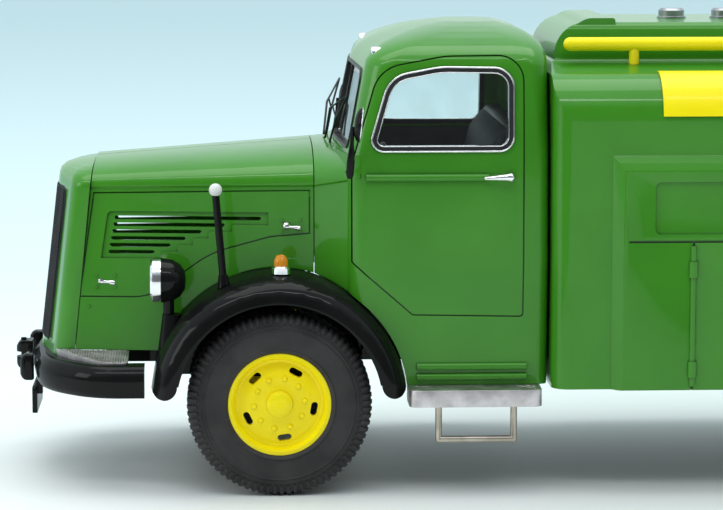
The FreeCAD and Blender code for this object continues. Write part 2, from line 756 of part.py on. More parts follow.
def front_wheel():
    """A front wheel on the driver's side: rim, bulged disc, nuts and hub cap."""
    m = -front_tyre_y
    profile = [
        (0, m - 3.15), (1.2, m - 3.1), (hub_cap_radius - 0.1, m - 2.8), (hub_cap_radius, m - 2.0),
        (2.6, m - 1.9), (4.0, m - 1.9), (4.6, m - 1.65), (5.6, m - 1.35), (6.0, m - 1.5),
        (6.15, m - 2.3), (6.5, m - 2.75), (rim_radius, m - 2.7), (rim_radius, m + 2.6),
        (rim_radius - rim_flange, m + 2.6), (rim_radius - rim_flange, m - 0.4), (4.4, m - 0.8),
        (2.4, m - 0.9), (2.2, m + 1.6), (axle_pin_radius, m + 1.6), (axle_pin_radius, m - pin_tip_depth),
        (0, m - pin_tip_depth),
    ]
    wheel = lathe(profile, 0.0, axle_z)
    wheel = wheel.fuse(wheel_nuts(0.0, m - 1.9, -1))
    return wheel.cut(Part.makeCompound(wheel_face_cuts(0.0, m - 4, m + 0.5)))


def rear_wheel():
    """A rear wheel on the driver's side: one barrel for both tyres, a deep dish and a long hub."""
    m = -rear_outer_y
    back = -rear_inner_y + 2.6
    dish = m + 1.6
    profile = [
        (0, m - 1.7), (1.3, m - 1.6), (1.7, m - 1.2), (1.8, dish - 0.9),
        (2.6, dish - 0.7), (4.2, dish - 0.7), (4.8, dish - 0.5), (6.1, dish - 0.3),
        (6.15, m - 2.3), (6.5, m - 2.75), (rim_radius, m - 2.7), (rim_radius, back),
        (rim_radius - rim_flange, back), (rim_radius - rim_flange, dish + 0.6), (2.3, dish + 0.4),
        (2.2, dish + 4.0), (axle_pin_radius, dish + 4.0), (axle_pin_radius, m + 0.2), (0, m + 0.2),
    ]
    wheel = lathe(profile, wheelbase, axle_z)
    wheel = wheel.fuse(wheel_nuts(wheelbase, dish - 0.7, -1))
    return wheel.cut(Part.makeCompound(wheel_face_cuts(wheelbase, dish - 2, dish + 2)))


def axle_pin(x, tip_y):
    """A turned steel pin, pressed into the wheel at each end."""
    return rod(Vector(x, -tip_y, axle_z), Vector(x, tip_y, axle_z), axle_pin_radius)


# ---------------------------------------------------------------- front end
lamp_y = 19.0
lamp_x = -16.0
lamp_z = 28.8
lamp_radius = 3.05
overrider_y = 10.3
plate_half = 6.0


def fender():
    """The driver's side front wing: a half round mudguard with a rolled outer lip, up to the bonnet."""
    a = fender_outer_y
    r = fender_crest_radius
    lip = fender_lip_radius
    wall = fender_wall
    profile = [
        (r - wall, -11.5), (r, -11.5), (r, -a + 5.2), (r - 0.25, -a + 3.2), (r - 0.9, -a + 1.4),
        (r - 1.9, -a + 0.35), (r - 2.9, -a), (lip, -a), (lip, -a + wall),
        (r - 2.9, -a + wall), (r - 2.2, -a + wall + 0.3), (r - 1.5, -a + wall + 1.1),
        (r - wall - 0.2, -a + wall + 2.8), (r - wall, -a + wall + 4.6),
    ]
    spots = [Vector(-radius, y, axle_z) for radius, y in profile]
    face = Part.Face(Part.makePolygon(spots + [spots[0]]))
    shape = face.revolve(Vector(0, 0, axle_z), Vector(0, 1, 0), 180)
    if shape.BoundBox.ZMin < axle_z - 1.0:
        shape = face.revolve(Vector(0, 0, axle_z), Vector(0, -1, 0), 180)
    side = disc_sector(fender_inner_y, wall)
    shape = shape.fuse(side)
    keep_out = bonnet_form(-0.04).fuse(block(bonnet_rear_x - 0.02, 30, -bonnet_rear_half - 0.3, 0, 0, WIDE))
    shape = shape.cut(keep_out)
    shape = shape.cut(block(-WIDE, -12, -WIDE, WIDE, 0, bumper_foot_z + bumper_height + 0.05).common(
        block(-WIDE, bumper_end_x + 0.05, -WIDE, WIDE, 0, WIDE)))
    tip_x = (fender_crest_radius + fender_lip_radius) / 2.0
    tip = (fender_crest_radius - fender_lip_radius) / 2.0 + 0.1
    for way in (-1, 1):
        foot = block(way * tip_x - 4, way * tip_x + 4, -WIDE, 0, axle_z - 2, fender_tip_z + tip)
        foot = foot.cut(rod(Vector(way * tip_x, -WIDE, fender_tip_z + tip), Vector(way * tip_x, 0, fender_tip_z + tip), tip))
        shape = shape.cut(foot)
    return max(shape.Solids, key=lambda s: s.Volume)


def disc_sector(y, wall):
    """The inner wall of the wheel house, a half disc with room for the axle and the spring."""
    disc = Part.makeCylinder(fender_crest_radius - 0.1, wall, Vector(0, -y, axle_z), Vector(0, 1, 0))
    disc = disc.common(block(-WIDE, WIDE, -WIDE, WIDE, axle_z + 2.4, WIDE))
    return disc


def bumper_plan(by):
    """Half of the bumper's plan on each side of the middle, grown by a distance."""
    front = bumper_front_x
    corners = [
        (bumper_end_x, -bumper_half_width, 0.6),
        (-25.5, -bumper_half_width, 10.0),
        (bumper_front_x + 1.9, -bumper_nose, 13.0),
        (front, 0.0, 60.0),
        (bumper_front_x + 1.9, bumper_nose, 13.0),
        (-25.5, bumper_half_width, 10.0),
        (bumper_end_x, bumper_half_width, 0.6),
        (bumper_end_x, bumper_half_width - 4.0, 0.6),
        (rail_front_end_x - bumper_lip, bumper_nose - 1.0, 2.0),
        (rail_front_end_x - bumper_lip, -bumper_nose + 1.0, 2.0),
        (bumper_end_x, -bumper_half_width + 4.0, 0.6),
    ]
    return grown(corners, by)


def front_bumper():
    """A pressed channel: face, returned ends and a top that carries the tread plates."""
    top_z = bumper_foot_z + bumper_height
    outer = slab(bumper_plan(0.0), on_xy(bumper_foot_z), Vector(0, 0, bumper_height))
    inner = slab(bumper_plan(-0.9), on_xy(bumper_foot_z - 1), Vector(0, 0, bumper_height + 0.2))
    shape = outer.cut(inner)
    lip = slab(bumper_plan(bumper_lip), on_xy(top_z - 0.9), Vector(0, 0, 0.5))
    shape = shape.fuse(lip.cut(slab(bumper_plan(-0.3), on_xy(top_z - 2), Vector(0, 0, 3))))
    return shape.cut(block(bumper_end_x - 0.001, WIDE, -WIDE, WIDE, 0, WIDE))


def bumper_tread():
    """A chequered plate on the bumper's top, on the driver's side."""
    top_z = bumper_foot_z + bumper_height
    outer_y = -bumper_half_width + 2.4
    corners = [
        (bumper_end_x - 2.3, outer_y, 0.4),
        (bumper_end_x - 5.9, outer_y, 3.0),
        (bumper_end_x - 9.9, outer_y + 4.4, 6.0),
        (bumper_end_x - 12.2, outer_y + 8.3, 3.0),
        (bumper_end_x - 13.3, outer_y + 11.2, 0.3),
        (bumper_end_x - 11.0, outer_y + 11.2, 0.3),
        (bumper_end_x - 9.0, tread_inner_y, 1.0),
        (bumper_end_x - 2.3, tread_inner_y - 0.4, 0.4),
    ]
    plate = slab(corners, on_xy(top_z - 1.2), Vector(0, 0, 1.45))
    studs = slab(grown(corners, -0.3), on_xy(top_z + 0.2), Vector(0, 0, 0.2))
    grooves = []
    for k in range(-12, 13):
        for lean in (-1, 1):
            groove = block(-14, 14, -0.1, 0.1, top_z, top_z + 1)
            groove.rotate(Vector(0, 0, 0), Vector(0, 0, 1), 45 * lean)
            groove.translate(Vector(bumper_end_x - 8.0 + 0.72 * k, -17.5, 0))
            grooves.append(groove)
    plate = plate.fuse(studs.cut(grooves).Solids)
    plate.rotate(Vector(0, outer_y, top_z), Vector(1, 0, 0), tread_slope)
    plate = plate.cut(block(-WIDE, 0, -WIDE, 0, 0, top_z))
    plate = plate.cut(radiator_form(-0.15, bumper_foot_z, False)).cut(bonnet_form(-0.1))
    return max(plate.Solids, key=lambda s: s.Volume)


def overrider():
    """A short rounded buffer on the bumper's face."""
    y = -overrider_y
    corners = [(-36.0, 13.7, 1.0), (-36.0, 17.4, 1.0), (-31.0, 17.4, 0.0), (-31.0, 13.7, 0.0)]
    form = slab(corners, on_xz(y - 1.1), Vector(0, 2.2, 0))
    plan = [(-36.0, y - 1.1, 1.0), (-36.0, y + 1.1, 1.0), (-30, y + 1.1, 0.0), (-30, y - 1.1, 0.0)]
    form = form.common(slab(plan, on_xy(0), Vector(0, 0, 40)))
    return form.cut(slab(bumper_plan(bumper_lip + 0.01), on_xy(0), Vector(0, 0, 40)))


def tow_jaw():
    """The towing jaw with its upright pin."""
    corners = [(-37.2, 13.6, 1.1), (-37.2, 17.7, 1.1), (-31.0, 17.7, 0.0), (-31.0, 13.6, 0.0)]
    jaw = slab(corners, on_xz(-1.5), Vector(0, 3.0, 0))
    plan = [(-37.2, -1.5, 1.2), (-37.2, 1.5, 1.2), (-30, 1.5, 0.0), (-30, -1.5, 0.0)]
    jaw = jaw.common(slab(plan, on_xy(0), Vector(0, 0, 40)))
    jaw = jaw.cut(block(-40, -35.4, -2, 2, 15.3, 16.1))
    jaw = jaw.fuse(rod(Vector(-36.2, 0, 13.4), Vector(-36.2, 0, 18.0), 0.4))
    return jaw.cut(slab(bumper_plan(bumper_lip + 0.01), on_xy(0), Vector(0, 0, 40)))


def front_plate():
    """A blank number plate hung under the bumper on two straps."""
    plate = slab([(-plate_half, 8.0, 0.5), (plate_half, 8.0, 0.5), (plate_half, 11.8, 0.5), (-plate_half, 11.8, 0.5)],
                 on_yz(-34.7), Vector(0.7, 0, 0))
    rim = slab([(-plate_half + 0.4, 8.4, 0.3), (plate_half - 0.4, 8.4, 0.3), (plate_half - 0.4, 11.4, 0.3),
                (-plate_half + 0.4, 11.4, 0.3)], on_yz(-35.0), Vector(0.5, 0, 0))
    plate = plate.cut(rim)
    for side in (-1, 1):
        y = side * 4.0
        plate = plate.fuse(block(-34.1, -33.3, y - 0.6, y + 0.6, 10.6, bumper_foot_z))
    return plate


def headlamp():
    """The lamp's bowl on its foot, on the driver's side wing."""
    y = -lamp_y
    r = lamp_radius
    bowl = lathe_x([(0, lamp_x + 3.4), (1.2, lamp_x + 3.25), (2.2, lamp_x + 2.6), (2.8, lamp_x + 1.6), (r, lamp_x),
                    (r - 0.5, lamp_x), (r - 0.8, lamp_x + 1.3), (r - 1.6, lamp_x + 2.2), (0, lamp_x + 2.6)], y, lamp_z)
    foot_x = lamp_x + 1.0
    top = lamp_z - r + 0.6
    bracket_top = top - 2.2
    stem = Part.makeCylinder(0.75, top - 21.0, Vector(foot_x, y, 21.0), Vector(0, 0, 1))
    stem = stem.fuse(Part.makeCone(2.2, 1.35, bracket_top - 18.0, Vector(foot_x + 0.5, y, 18.0), Vector(0, 0, 1)))
    well = Part.makeCylinder(fender_crest_radius, 2 * WIDE, Vector(0, -WIDE, axle_z), Vector(0, 1, 0))
    stem = stem.cut(well)
    hollow = lathe_x([(0, lamp_x - 1), (r - 0.5, lamp_x - 1), (r - 0.5, lamp_x), (r - 0.8, lamp_x + 1.3),
                      (r - 1.6, lamp_x + 2.2), (0, lamp_x + 2.6)], y, lamp_z)
    return bowl.fuse(stem).cut(hollow).Solids[0]


def headlamp_rim():
    """The chromed ring that holds the lens."""
    r = lamp_radius
    return lathe_x([(r - 0.55, lamp_x), (r + 0.08, lamp_x), (r + 0.1, lamp_x - 1.15), (r - 0.2, lamp_x - 1.45),
                    (r - 0.6, lamp_x - 1.2)], -lamp_y, lamp_z)


def headlamp_lens():
    """A slightly domed glass."""
    r = lamp_radius - 0.62
    return lathe_x([(0, lamp_x - 0.3), (r, lamp_x - 0.3), (r, lamp_x - 1.1), (r * 0.6, lamp_x - 1.45),
                    (0, lamp_x - 1.6)], -lamp_y, lamp_z)


def guide_rod():
    """The width marker on the wing: a thin rod."""
    foot = Vector(-7.4, -22.0, 27.8)
    tip = Vector(-8.5, -21.4, 40.9)
    shape = rod(foot, tip, 0.5).fuse(Part.makeCone(1.0, 0.6, 2.0, Vector(-7.4, -22.0, 27.9), Vector(-0.08, 0.04, 1)))
    return shape.cut(wheel_well(fender_crest_radius)).cut(Part.makeSphere(0.9, Vector(-8.5, -21.4, 41.4)))


def guide_ball():
    """The white ball on the width marker."""
    return Part.makeSphere(0.9, Vector(-8.5, -21.4, 41.4))


def indicator_base():
    """The chromed foot of the wing's side lamp."""
    shape = lathe_z([(0, 29.4), (1.3, 29.4), (1.25, 30.9), (1.0, 31.1), (0, 31.1)], 0.3, -22.4)
    return shape.cut(wheel_well(fender_crest_radius))


def indicator_lens():
    """The amber glass of the wing's side lamp."""
    return lathe_z([(0, 31.1), (0.95, 31.1), (0.95, 31.9), (0.6, 32.55), (0, 32.7)], 0.3, -22.4)


def bonnet_latches():
    """Riveted catches on the bonnet's sides, two on each."""
    skin = bonnet_form(-0.5).cut(bonnet_form(0.0))
    base = bonnet_form(-0.15).cut(bonnet_form(0.0))
    plates = []
    for x, z in latch_spots:
        plate = [(x - 0.75, z - 0.5, 0.3), (x + 0.3, z - 0.5, 0.3), (x + 0.3, z + 0.5, 0.3), (x - 0.75, z + 0.5, 0.3)]
        lever = [(x - 0.45, z - 0.1, 0.1), (x + 0.9, z - 0.4, 0.28), (x + 1.1, z + 0.15, 0.28), (x - 0.45, z + 0.35, 0.2)]
        shape = through_sides(plate, -WIDE, 0).common(base).fuse(through_sides(lever, -WIDE, 0).common(skin))
        plates.append(shape)
        plates.append(mirrored(shape))
    return Part.makeCompound([p for plate in plates for p in plate.Solids])


# ---------------------------------------------------------------- cab fittings
mirror_y = 25.9
roof_lamp_tilt = -14.0
mirror_head_z = (48.3, 53.0)


def cab_floor_pan():
    """The floor inside the cab, resting on the frame."""
    half = cab_half(frame_top_z) - cab_wall - 0.5
    x0 = math.sqrt(fender_crest_radius ** 2 - (frame_top_z - axle_z) ** 2) + 0.4
    pan = block(x0, cab_back_x - cab_wall - 0.2, -half, half, frame_top_z, frame_top_z + 1.0)
    boss = rod(Vector(screw_x[0], 0, frame_top_z), Vector(screw_x[0], 0, frame_top_z + 2.0), 2.2)
    pan = pan.fuse(block(screw_x[0] - 3, x0 + 1, -4, 4, frame_top_z, frame_top_z + 1.0)).fuse(boss)
    return pan.cut(rod(Vector(screw_x[0], 0, 0), Vector(screw_x[0], 0, WIDE), screw_shank_radius))


def bench_seat():
    """A one piece bench with upright ribs pressed into its back."""
    back = cab_back_x - cab_wall - 0.5
    half = 18.6
    corners = [(22.5, frame_top_z + 1.0, 0.0), (22.5, 33.5, 1.5), (30.4, 33.0, 0.6), (31.3, 49.8, 1.2),
               (back - 0.9, 49.8, 1.2), (back, frame_top_z + 1.0, 0.0)]
    seat = slab(corners, on_xz(-half), Vector(0, 2 * half, 0))
    flutes = []
    count = 11
    for k in range(1, count):
        y = -half + 2 * half / count * k
        flutes.append(rod(Vector(30.0, y, 34.5), Vector(31.1, y, 49.0), 0.35))
    return seat.cut(Part.makeCompound(flutes))


def dashboard(layers):
    """The fascia under the windscreen."""
    corners = [(9.0, 37.5, 0.5), (9.0, 45.4, 0.5), (13.2, 45.4, 1.2), (14.0, 41.0, 1.0), (12.6, 37.5, 0.5)]
    half = cab_half(41.0) - cab_wall - 1.6
    return slab(corners, on_xz(-half), Vector(0, 2 * half, 0)).common(layers[cab_wall + 0.35])


def steering_wheel():
    """A thin rimmed wheel with three spokes, its boss and column."""
    wheel = Part.makeTorus(4.3, 0.42)
    wheel = wheel.fuse(Part.makeCylinder(0.9, 0.9, Vector(0, 0, -0.5)))
    for k in range(3):
        angle = math.radians(90 + 120 * k)
        wheel = wheel.fuse(rod(Vector(0, 0, 0), Vector(4.2 * math.cos(angle), 4.2 * math.sin(angle), 0), 0.28))
    wheel = wheel.fuse(rod(Vector(0, 0, 0), Vector(0, 0, -4.6), 0.55))
    wheel.rotate(Vector(0, 0, 0), Vector(0, 1, 0), 48)
    wheel.translate(Vector(17.6, -10.5, 43.2))
    return wheel


def door_handle(shell):
    """A lever handle on two feet, on the driver's door."""
    surface = cab_half(43.4)
    bar = Part.makeCone(0.22, 0.55, 3.5, Vector(27.9, -surface - 0.7, 43.1), Vector(1, 0, 0.05))
    shape = bar.fuse(Part.makeSphere(0.22, Vector(27.9, -surface - 0.7, 43.1)))
    shape = shape.fuse(Part.makeSphere(0.62, Vector(31.3, -surface - 0.7, 43.25)))
    shape = shape.fuse(Part.makeCone(0.8, 0.6, 0.9, Vector(31.3, -surface + 0.2, 43.25), Vector(0, -1, 0)))
    return shape.cut(shell)


def wiper(layers, pivot_y, pivot_z, tip_y, tip_z):
    """A wiper lying on the glass: arm, blade and pivot."""
    def strip(a, b, half):
        way = Vector(0, b[0] - a[0], b[1] - a[1]).normalize()
        side = Vector(0, -way.z, way.y) * half
        spots = [Vector(-8, a[0], a[1]).sub(side), Vector(-8, b[0], b[1]).sub(side),
                 Vector(-8, b[0], b[1]).add(side), Vector(-8, a[0], a[1]).add(side)]
        return Part.Face(Part.makePolygon(spots + [spots[0]])).extrude(Vector(28, 0, 0))
    arm = strip((pivot_y, pivot_z), (tip_y, tip_z), 0.16)
    way = Vector(0, tip_y - pivot_y, tip_z - pivot_z).normalize()
    low = (tip_y - way.y * 6.0, tip_z - way.z * 6.0)
    high = (tip_y + way.y * 1.2, tip_z + way.z * 1.2)
    blade = strip(low, high, 0.3)
    skin = layers[-0.55].cut(layers[0.0])
    shape = arm.fuse(blade).common(skin)
    pivot = rod(Vector(-8, pivot_y, pivot_z), Vector(20, pivot_y, pivot_z), 0.6).common(layers[-0.9].cut(layers[0.0]))
    return shape.fuse(pivot)


def mirror_arm():
    """The tubular arm from the door pillar to the mirror."""
    foot_y = cab_half(belt_z) - 0.2
    low = rod(Vector(9.6, -foot_y, 43.9), Vector(9.6, -mirror_y, 44.6), 0.35)
    stem = rod(Vector(9.6, -mirror_y, 44.6), Vector(9.9, -mirror_y, 51.2), 0.35)
    knee = Part.makeSphere(0.36, Vector(9.6, -mirror_y, 44.6))
    shape = low.fuse([stem, knee])
    return shape.cut(mirror_head())


def mirror_head():
    """The mirror's case."""
    z0, z1 = mirror_head_z
    y0 = -mirror_y - 1.75
    y1 = -mirror_y + 1.75
    corners = [(y0, z0, 0.7), (y1, z0, 0.7), (y1, z1, 0.7), (y0, z1, 0.7)]
    return slab(corners, on_yz(10.1), Vector(0.95, 0, 0))


def roof_lamp(fixed):
    """A teardrop marker lamp over the driver's side corner of the windscreen."""
    x = 12.75
    y = -18.0
    z = 59.4
    shell = lathe_x([(0, x + 0.1), (0.9, x + 0.1), (1.2, x), (1.22, x + 0.35), (1.05, x + 1.2), (0.7, x + 2.0),
                     (0.3, x + 2.6), (0, x + 2.8)], y, z)
    foot = Part.makeCone(0.9, 0.75, 2.4, Vector(x + 1.2, y, z - 2.8), Vector(0, 0, 1))
    lamp = shell.fuse(foot)
    lamp.rotate(Vector(x, y, z), Vector(0, 1, 0), roof_lamp_tilt)
    return max(lamp.cut(fixed).Solids, key=lambda s: s.Volume)


def cab_step():
    """The cast step under the driver's door, chequered on top."""
    x0 = step_front_x
    x1 = step_front_x + step_length
    corners = [(x0, -step_outer_y, 1.2), (x1, -step_outer_y, 1.2), (x1, -21.5, 0.0), (x0, -21.5, 0.0)]
    step = slab(corners, on_xy(cab_floor_z - step_thickness), Vector(0, 0, step_thickness))
    hollow = slab(grown([(x0, -step_outer_y, 1.2), (x1, -step_outer_y, 1.2), (x1, -21.5, 1.2), (x0, -21.5, 1.2)], -1.0),
                  on_xy(0), Vector(0, 0, cab_floor_z - 0.8))
    step = step.cut(hollow)
    cuts = []
    for k in range(int(step_length / 1.2) + 4):
        for lean in (-1, 1):
            bar = block(-4, 4, -0.14, 0.14, cab_floor_z - 0.25, cab_floor_z + 1)
            bar.rotate(Vector(0, 0, 0), Vector(0, 0, 1), 45 * lean)
            bar.translate(Vector(x0 - 1.5 + 1.2 * k, -step_outer_y + 2.0, 0))
            cuts.append(bar)
    area = block(x0 + 0.7, x1 - 0.7, -step_outer_y + 0.7, -step_outer_y + 3.6, 0, WIDE)
    return step.cut(Part.makeCompound(cuts).common(area))


def stirrup():
    """The wire foot rail under the driver's step."""
    x0 = step_front_x + 4.0
    x1 = step_front_x + step_length - 3.8
    y = -step_outer_y + 1.3
    top = cab_floor_z - step_thickness
    low = 7.8
    r = 0.45
    shape = rod(Vector(x0, y, top), Vector(x0, y, low), r)
    shape = shape.fuse([rod(Vector(x1, y, top), Vector(x1, y, low), r), rod(Vector(x0, y, low), Vector(x1, y, low), r),
                        Part.makeSphere(r, Vector(x0, y, low)), Part.makeSphere(r, Vector(x1, y, low))])
    return shape


# ---------------------------------------------------------------- tank
locker_back_gap = 7.0
liner_wall = 0.8
liner_inner_y = rear_inner_y - tyre_width / 2.0 - 1.4
hump_back_x = 46.8
cap_radius = 1.85
cap_height = 1.4
cap_first_x = 56.6
cap_pitch = 7.6
cap_pair_pitch = 31.0
cap_pair_count = 3
panel_front_x = 51.5
panel_low_z = 51.6
panel_high_z = 57.3
panel_proud = 0.35
tank_section = [
    (-tank_half_width, tank_foot_z, 0.5),
    (-tank_half_width, shoulder_z, tank_shoulder_radius),
    (-ridge_half_width, tank_top_z, 0.8),
    (-ridge_half_width + 1.4, deck_z, 1.4),
    (ridge_half_width - 1.4, deck_z, 1.4),
    (ridge_half_width, tank_top_z, 0.8),
    (tank_half_width, shoulder_z, tank_shoulder_radius),
    (tank_half_width, tank_foot_z, 0.5),
]


def arch_radius():
    """The opening round the rear tyres."""
    return tyre_radius + arch_clearance


def tank_form(inset):
    """The tank's outer form: a rounded body with the filling ridge along its top."""
    x0 = tank_front_x + inset
    x1 = tank_back_x - inset
    drop = 1.0 if inset > 0 else 0.0
    foot = tank_foot_z - drop
    section = grown(tank_section, -inset)
    section[0] = (section[0][0], foot, 0.0)
    section[-1] = (section[-1][0], foot, 0.0)
    whole = slab(section, on_yz(x0 - 2.0), Vector(x1 - x0 + 4.0, 0, 0))
    half = tank_half_width - inset
    plan = [(x0, -half, 2.4), (x1, -half, tank_corner_radius - inset), (x1, half, tank_corner_radius - inset),
            (x0, half, 2.4)]
    side = [(x0 - 1.0, foot - 1.0, 0.0), (x0 - 1.0, 55.4 - inset, 0.0), (x0 + 1.0, tank_top_z + 0.2 - inset, 0.8),
            (x0 + 2.6, tank_top_z + 0.2 - inset, 0.0), (x1 - 6.0, tank_top_z + 0.2 - inset, 0.0),
            (x1 - 4.3, tank_top_z + 0.2 - inset, 0.0), (x1 + 1.0, 52.0 - inset, 3.0), (x1 + 1.0, foot - 1.0, 0.0)]
    body = whole.common(slab(plan, on_xy(0), Vector(0, 0, 100))).common(through_sides(side))
    crest = [(ridge_front_x + inset, tank_top_z - 2.0, 0.0), (ridge_front_x + inset, deck_z - inset, 4.4),
             (x1 - 4.9, deck_z - inset, 4.0), (x1 - 3.2, tank_top_z - 2.0, 0.0)]
    ridge = whole.common(block(x0, x1, -ridge_half_width, ridge_half_width, tank_top_z - 2.0, WIDE * 2))
    return body.fuse(ridge.common(through_sides(crest)))


def tank_shell():
    """The green casting of the tank, open below, with the hump in front of the filling deck."""
    shell = tank_form(0.0)
    hump_half = ridge_half_width - 1.6
    hump = [(ridge_front_x + 0.9, deck_z - 4.0, 0.0), (ridge_front_x + 1.0, deck_z - 1.6, 1.0),
            (ridge_front_x + 4.6, nose_z, 3.0), (hump_back_x, nose_z, 0.4), (hump_back_x, deck_z - 4.0, 0.0)]
    shell = shell.fuse(slab(hump, on_xz(-hump_half), Vector(0, 2 * hump_half, 0)))
    shell = shell.cut(tank_form(tank_wall))
    shell = shell.cut(rod(Vector(wheelbase, -WIDE, axle_z), Vector(wheelbase, WIDE, axle_z), arch_radius()))
    shell = shell.cut(frame_notch(tank_front_x - 1, tank_front_x + tank_wall + 0.5))
    for side in (-1, 1):
        y = side * (frame_half_width - frame_rail_width / 2.0)
        reach = frame_rail_width / 2.0 + notch_clearance
        bracket_top = bumper_foot_z + rear_bumper_height + notch_clearance
        shell = shell.cut(block(tank_back_x - 3, tank_back_x + 1, y - reach, y + reach, 0, bracket_top))
    return max(shell.Solids, key=lambda s: s.Volume)


def side_lockers():
    """The locker fronts along the driver's side, standing out from the tank."""
    x1 = tank_back_x - locker_back_gap
    y0 = -tank_half_width - locker_proud
    edge = [
        (y0, tank_foot_z, 0.3), (y0, locker_top_z - 2.0, 0.5), (y0 + 0.55, locker_top_z - 0.9, 0.2),
        (-tank_half_width, locker_top_z, 0.0), (-tank_half_width, tank_foot_z, 0.0),
    ]
    shape = slab(edge, on_yz(locker_front_x), Vector(x1 - locker_front_x, 0, 0))
    plan = [(locker_front_x, -tank_half_width + 1, 0.0), (locker_front_x, -tank_half_width, 0.0),
            (locker_front_x + 1.5, y0, 0.4), (x1 - 1.5, y0, 0.4), (x1, -tank_half_width, 0.0),
            (x1, -tank_half_width + 1, 0.0)]
    shape = shape.common(slab(plan, on_xy(0), Vector(0, 0, 100)))
    shape = shape.cut(rod(Vector(wheelbase, -WIDE, axle_z), Vector(wheelbase, WIDE, axle_z), arch_radius() + 1.2))
    cutter_y = y0 - 1
    floor_y = y0 + 0.4
    sunk = [(50.4, 35.8, 0.8), (x1 - 4.5, 35.8, 0.8), (x1 - 4.5, 42.9, 0.8), (50.4, 42.9, 0.8)]
    shape = shape.cut(through_sides(sunk, cutter_y, floor_y))
    for x in (55.6, 74.0, 91.0, 125.0):
        if x < x1 - 3:
            shape = shape.cut(block(x - 0.15, x + 0.15, cutter_y, floor_y, tank_foot_z - 1, 34.8))
    shape = shape.cut(block(locker_front_x + 2.2, x1 - 2.2, cutter_y, floor_y, 34.7, 35.0))
    return shape


def locker_hinges():
    """Upright hinge rods with two sleeves each, on the driver's side lockers."""
    y = -tank_half_width - locker_proud
    pieces = []
    for x in (55.6, 91.0, 125.6):
        bar = rod(Vector(x, y + 0.02, tank_foot_z + 0.6), Vector(x, y + 0.02, 34.3), 0.4)
        for z in (16.4, 30.0):
            bar = bar.fuse(rod(Vector(x, y + 0.02, z), Vector(x, y + 0.02, z + 2.2), 0.62))
        bar = bar.cut(side_lockers())
        well = rod(Vector(wheelbase, -WIDE, axle_z), Vector(wheelbase, WIDE, axle_z), arch_radius() + 1.2)
        bar = bar.cut(well)
        pieces.append(max(bar.Solids, key=lambda s: s.Volume))
    return pieces


def name_panel():
    """The blank board that follows the tank's shoulder, on the driver's side."""
    back_x = tank_back_x - tank_corner_radius - 2.0
    area = block(panel_front_x, back_x, -WIDE, -ridge_half_width - 2.0, panel_low_z, panel_high_z)
    long = [(a, b, r) for a, b, r in tank_section]
    outer = slab(grown(long, panel_proud), on_yz(0), Vector(4 * WIDE, 0, 0))
    inner = slab(grown(long, 0.0), on_yz(0), Vector(4 * WIDE, 0, 0))
    return outer.cut(inner).common(area)


def filler_caps():
    """Turned filler caps along the deck, in pairs."""
    caps = []
    r = cap_radius
    for k in range(cap_pair_count):
        for x in (cap_first_x + cap_pair_pitch * k, cap_first_x + cap_pair_pitch * k + cap_pitch):
            caps.append(lathe_z([(0, deck_z), (r + 0.2, deck_z), (r + 0.2, deck_z + 0.25), (r, deck_z + 0.3),
                                 (r, deck_z + cap_height - 0.3), (r - 0.3, deck_z + cap_height),
                                 (0, deck_z + cap_height)], x, 0))
    return Part.makeCompound(caps)


def handrail():
    """The driver's side rail along the top, with ends bent down to the ledge."""
    x0 = rail_front_x + rail_radius
    x1 = tank_back_x - 9.0
    r = rail_radius
    y = -rail_y
    bar = rod(Vector(x0, y, rail_z), Vector(x1, y, rail_z), r)
    front = Part.makeSphere(r, Vector(x0, y, rail_z))
    back = Part.makeSphere(r, Vector(x1, y, rail_z))
    return bar.fuse([front, back])


def handrail_posts():
    """Short posts between ledge and rail on the driver's side."""
    x0 = 48.95
    x1 = tank_back_x - 14.0
    rail = handrail()
    tank = tank_form(0.0)
    posts = []
    for k in range(post_count):
        x = x0 + (x1 - x0) * k / (post_count - 1)
        post = rod(Vector(x, -rail_y, tank_top_z - 2.0), Vector(x, -rail_y, rail_z), 0.7)
        post = post.cut(rail).cut(tank)
        posts.append(max(post.Solids, key=lambda s: s.CenterOfMass.z))
    return posts


def arch_liner():
    """The inner mudguard over the driver's side rear wheels."""
    r = arch_radius()
    outer_y = tank_half_width - tank_wall - 0.1
    ring = Part.makeCylinder(r + liner_wall, outer_y - liner_inner_y, Vector(wheelbase, -outer_y, axle_z), Vector(0, 1, 0))
    hollow = Part.makeCylinder(r, outer_y - liner_inner_y - liner_wall, Vector(wheelbase, -outer_y, axle_z), Vector(0, 1, 0))
    shape = ring.cut(hollow)
    return shape.common(block(wheelbase - 30, wheelbase + 30, -WIDE, 0, frame_top_z - 3.0, WIDE))


def rear_bumper():
    """A plain channel across the tail, on two brackets from the frame."""
    z0 = bumper_foot_z
    z1 = bumper_foot_z + rear_bumper_height
    apex = 120.0 * (1.0 / math.cos(math.atan(1.4 / 24.0)) - 1.0)
    plan = [(tail_x - rear_bumper_depth, -24.0, 0.4), (tail_x - 1.4, -24.0, 0.9), (tail_x + apex, 0.0, 120.0),
            (tail_x - 1.4, 24.0, 0.9), (tail_x - rear_bumper_depth, 24.0, 0.4)]
    bar = slab(plan, on_xy(z0), Vector(0, 0, z1 - z0))
    groove = slab(grown(plan, 1), on_xy((z0 + z1) / 2 - 0.3), Vector(0, 0, 0.6)).cut(
        slab(grown(plan, -0.4), on_xy(0), Vector(0, 0, 40)))
    bar = bar.cut(groove)
    inner = frame_half_width - frame_rail_width
    frame_end = tank_back_x - tank_wall - 0.3
    bracket = block(frame_end, tail_x - rear_bumper_depth + 0.5, inner, frame_half_width, frame_foot_z + 0.2, z1)
    return bar.fuse([bracket, mirrored(bracket)])


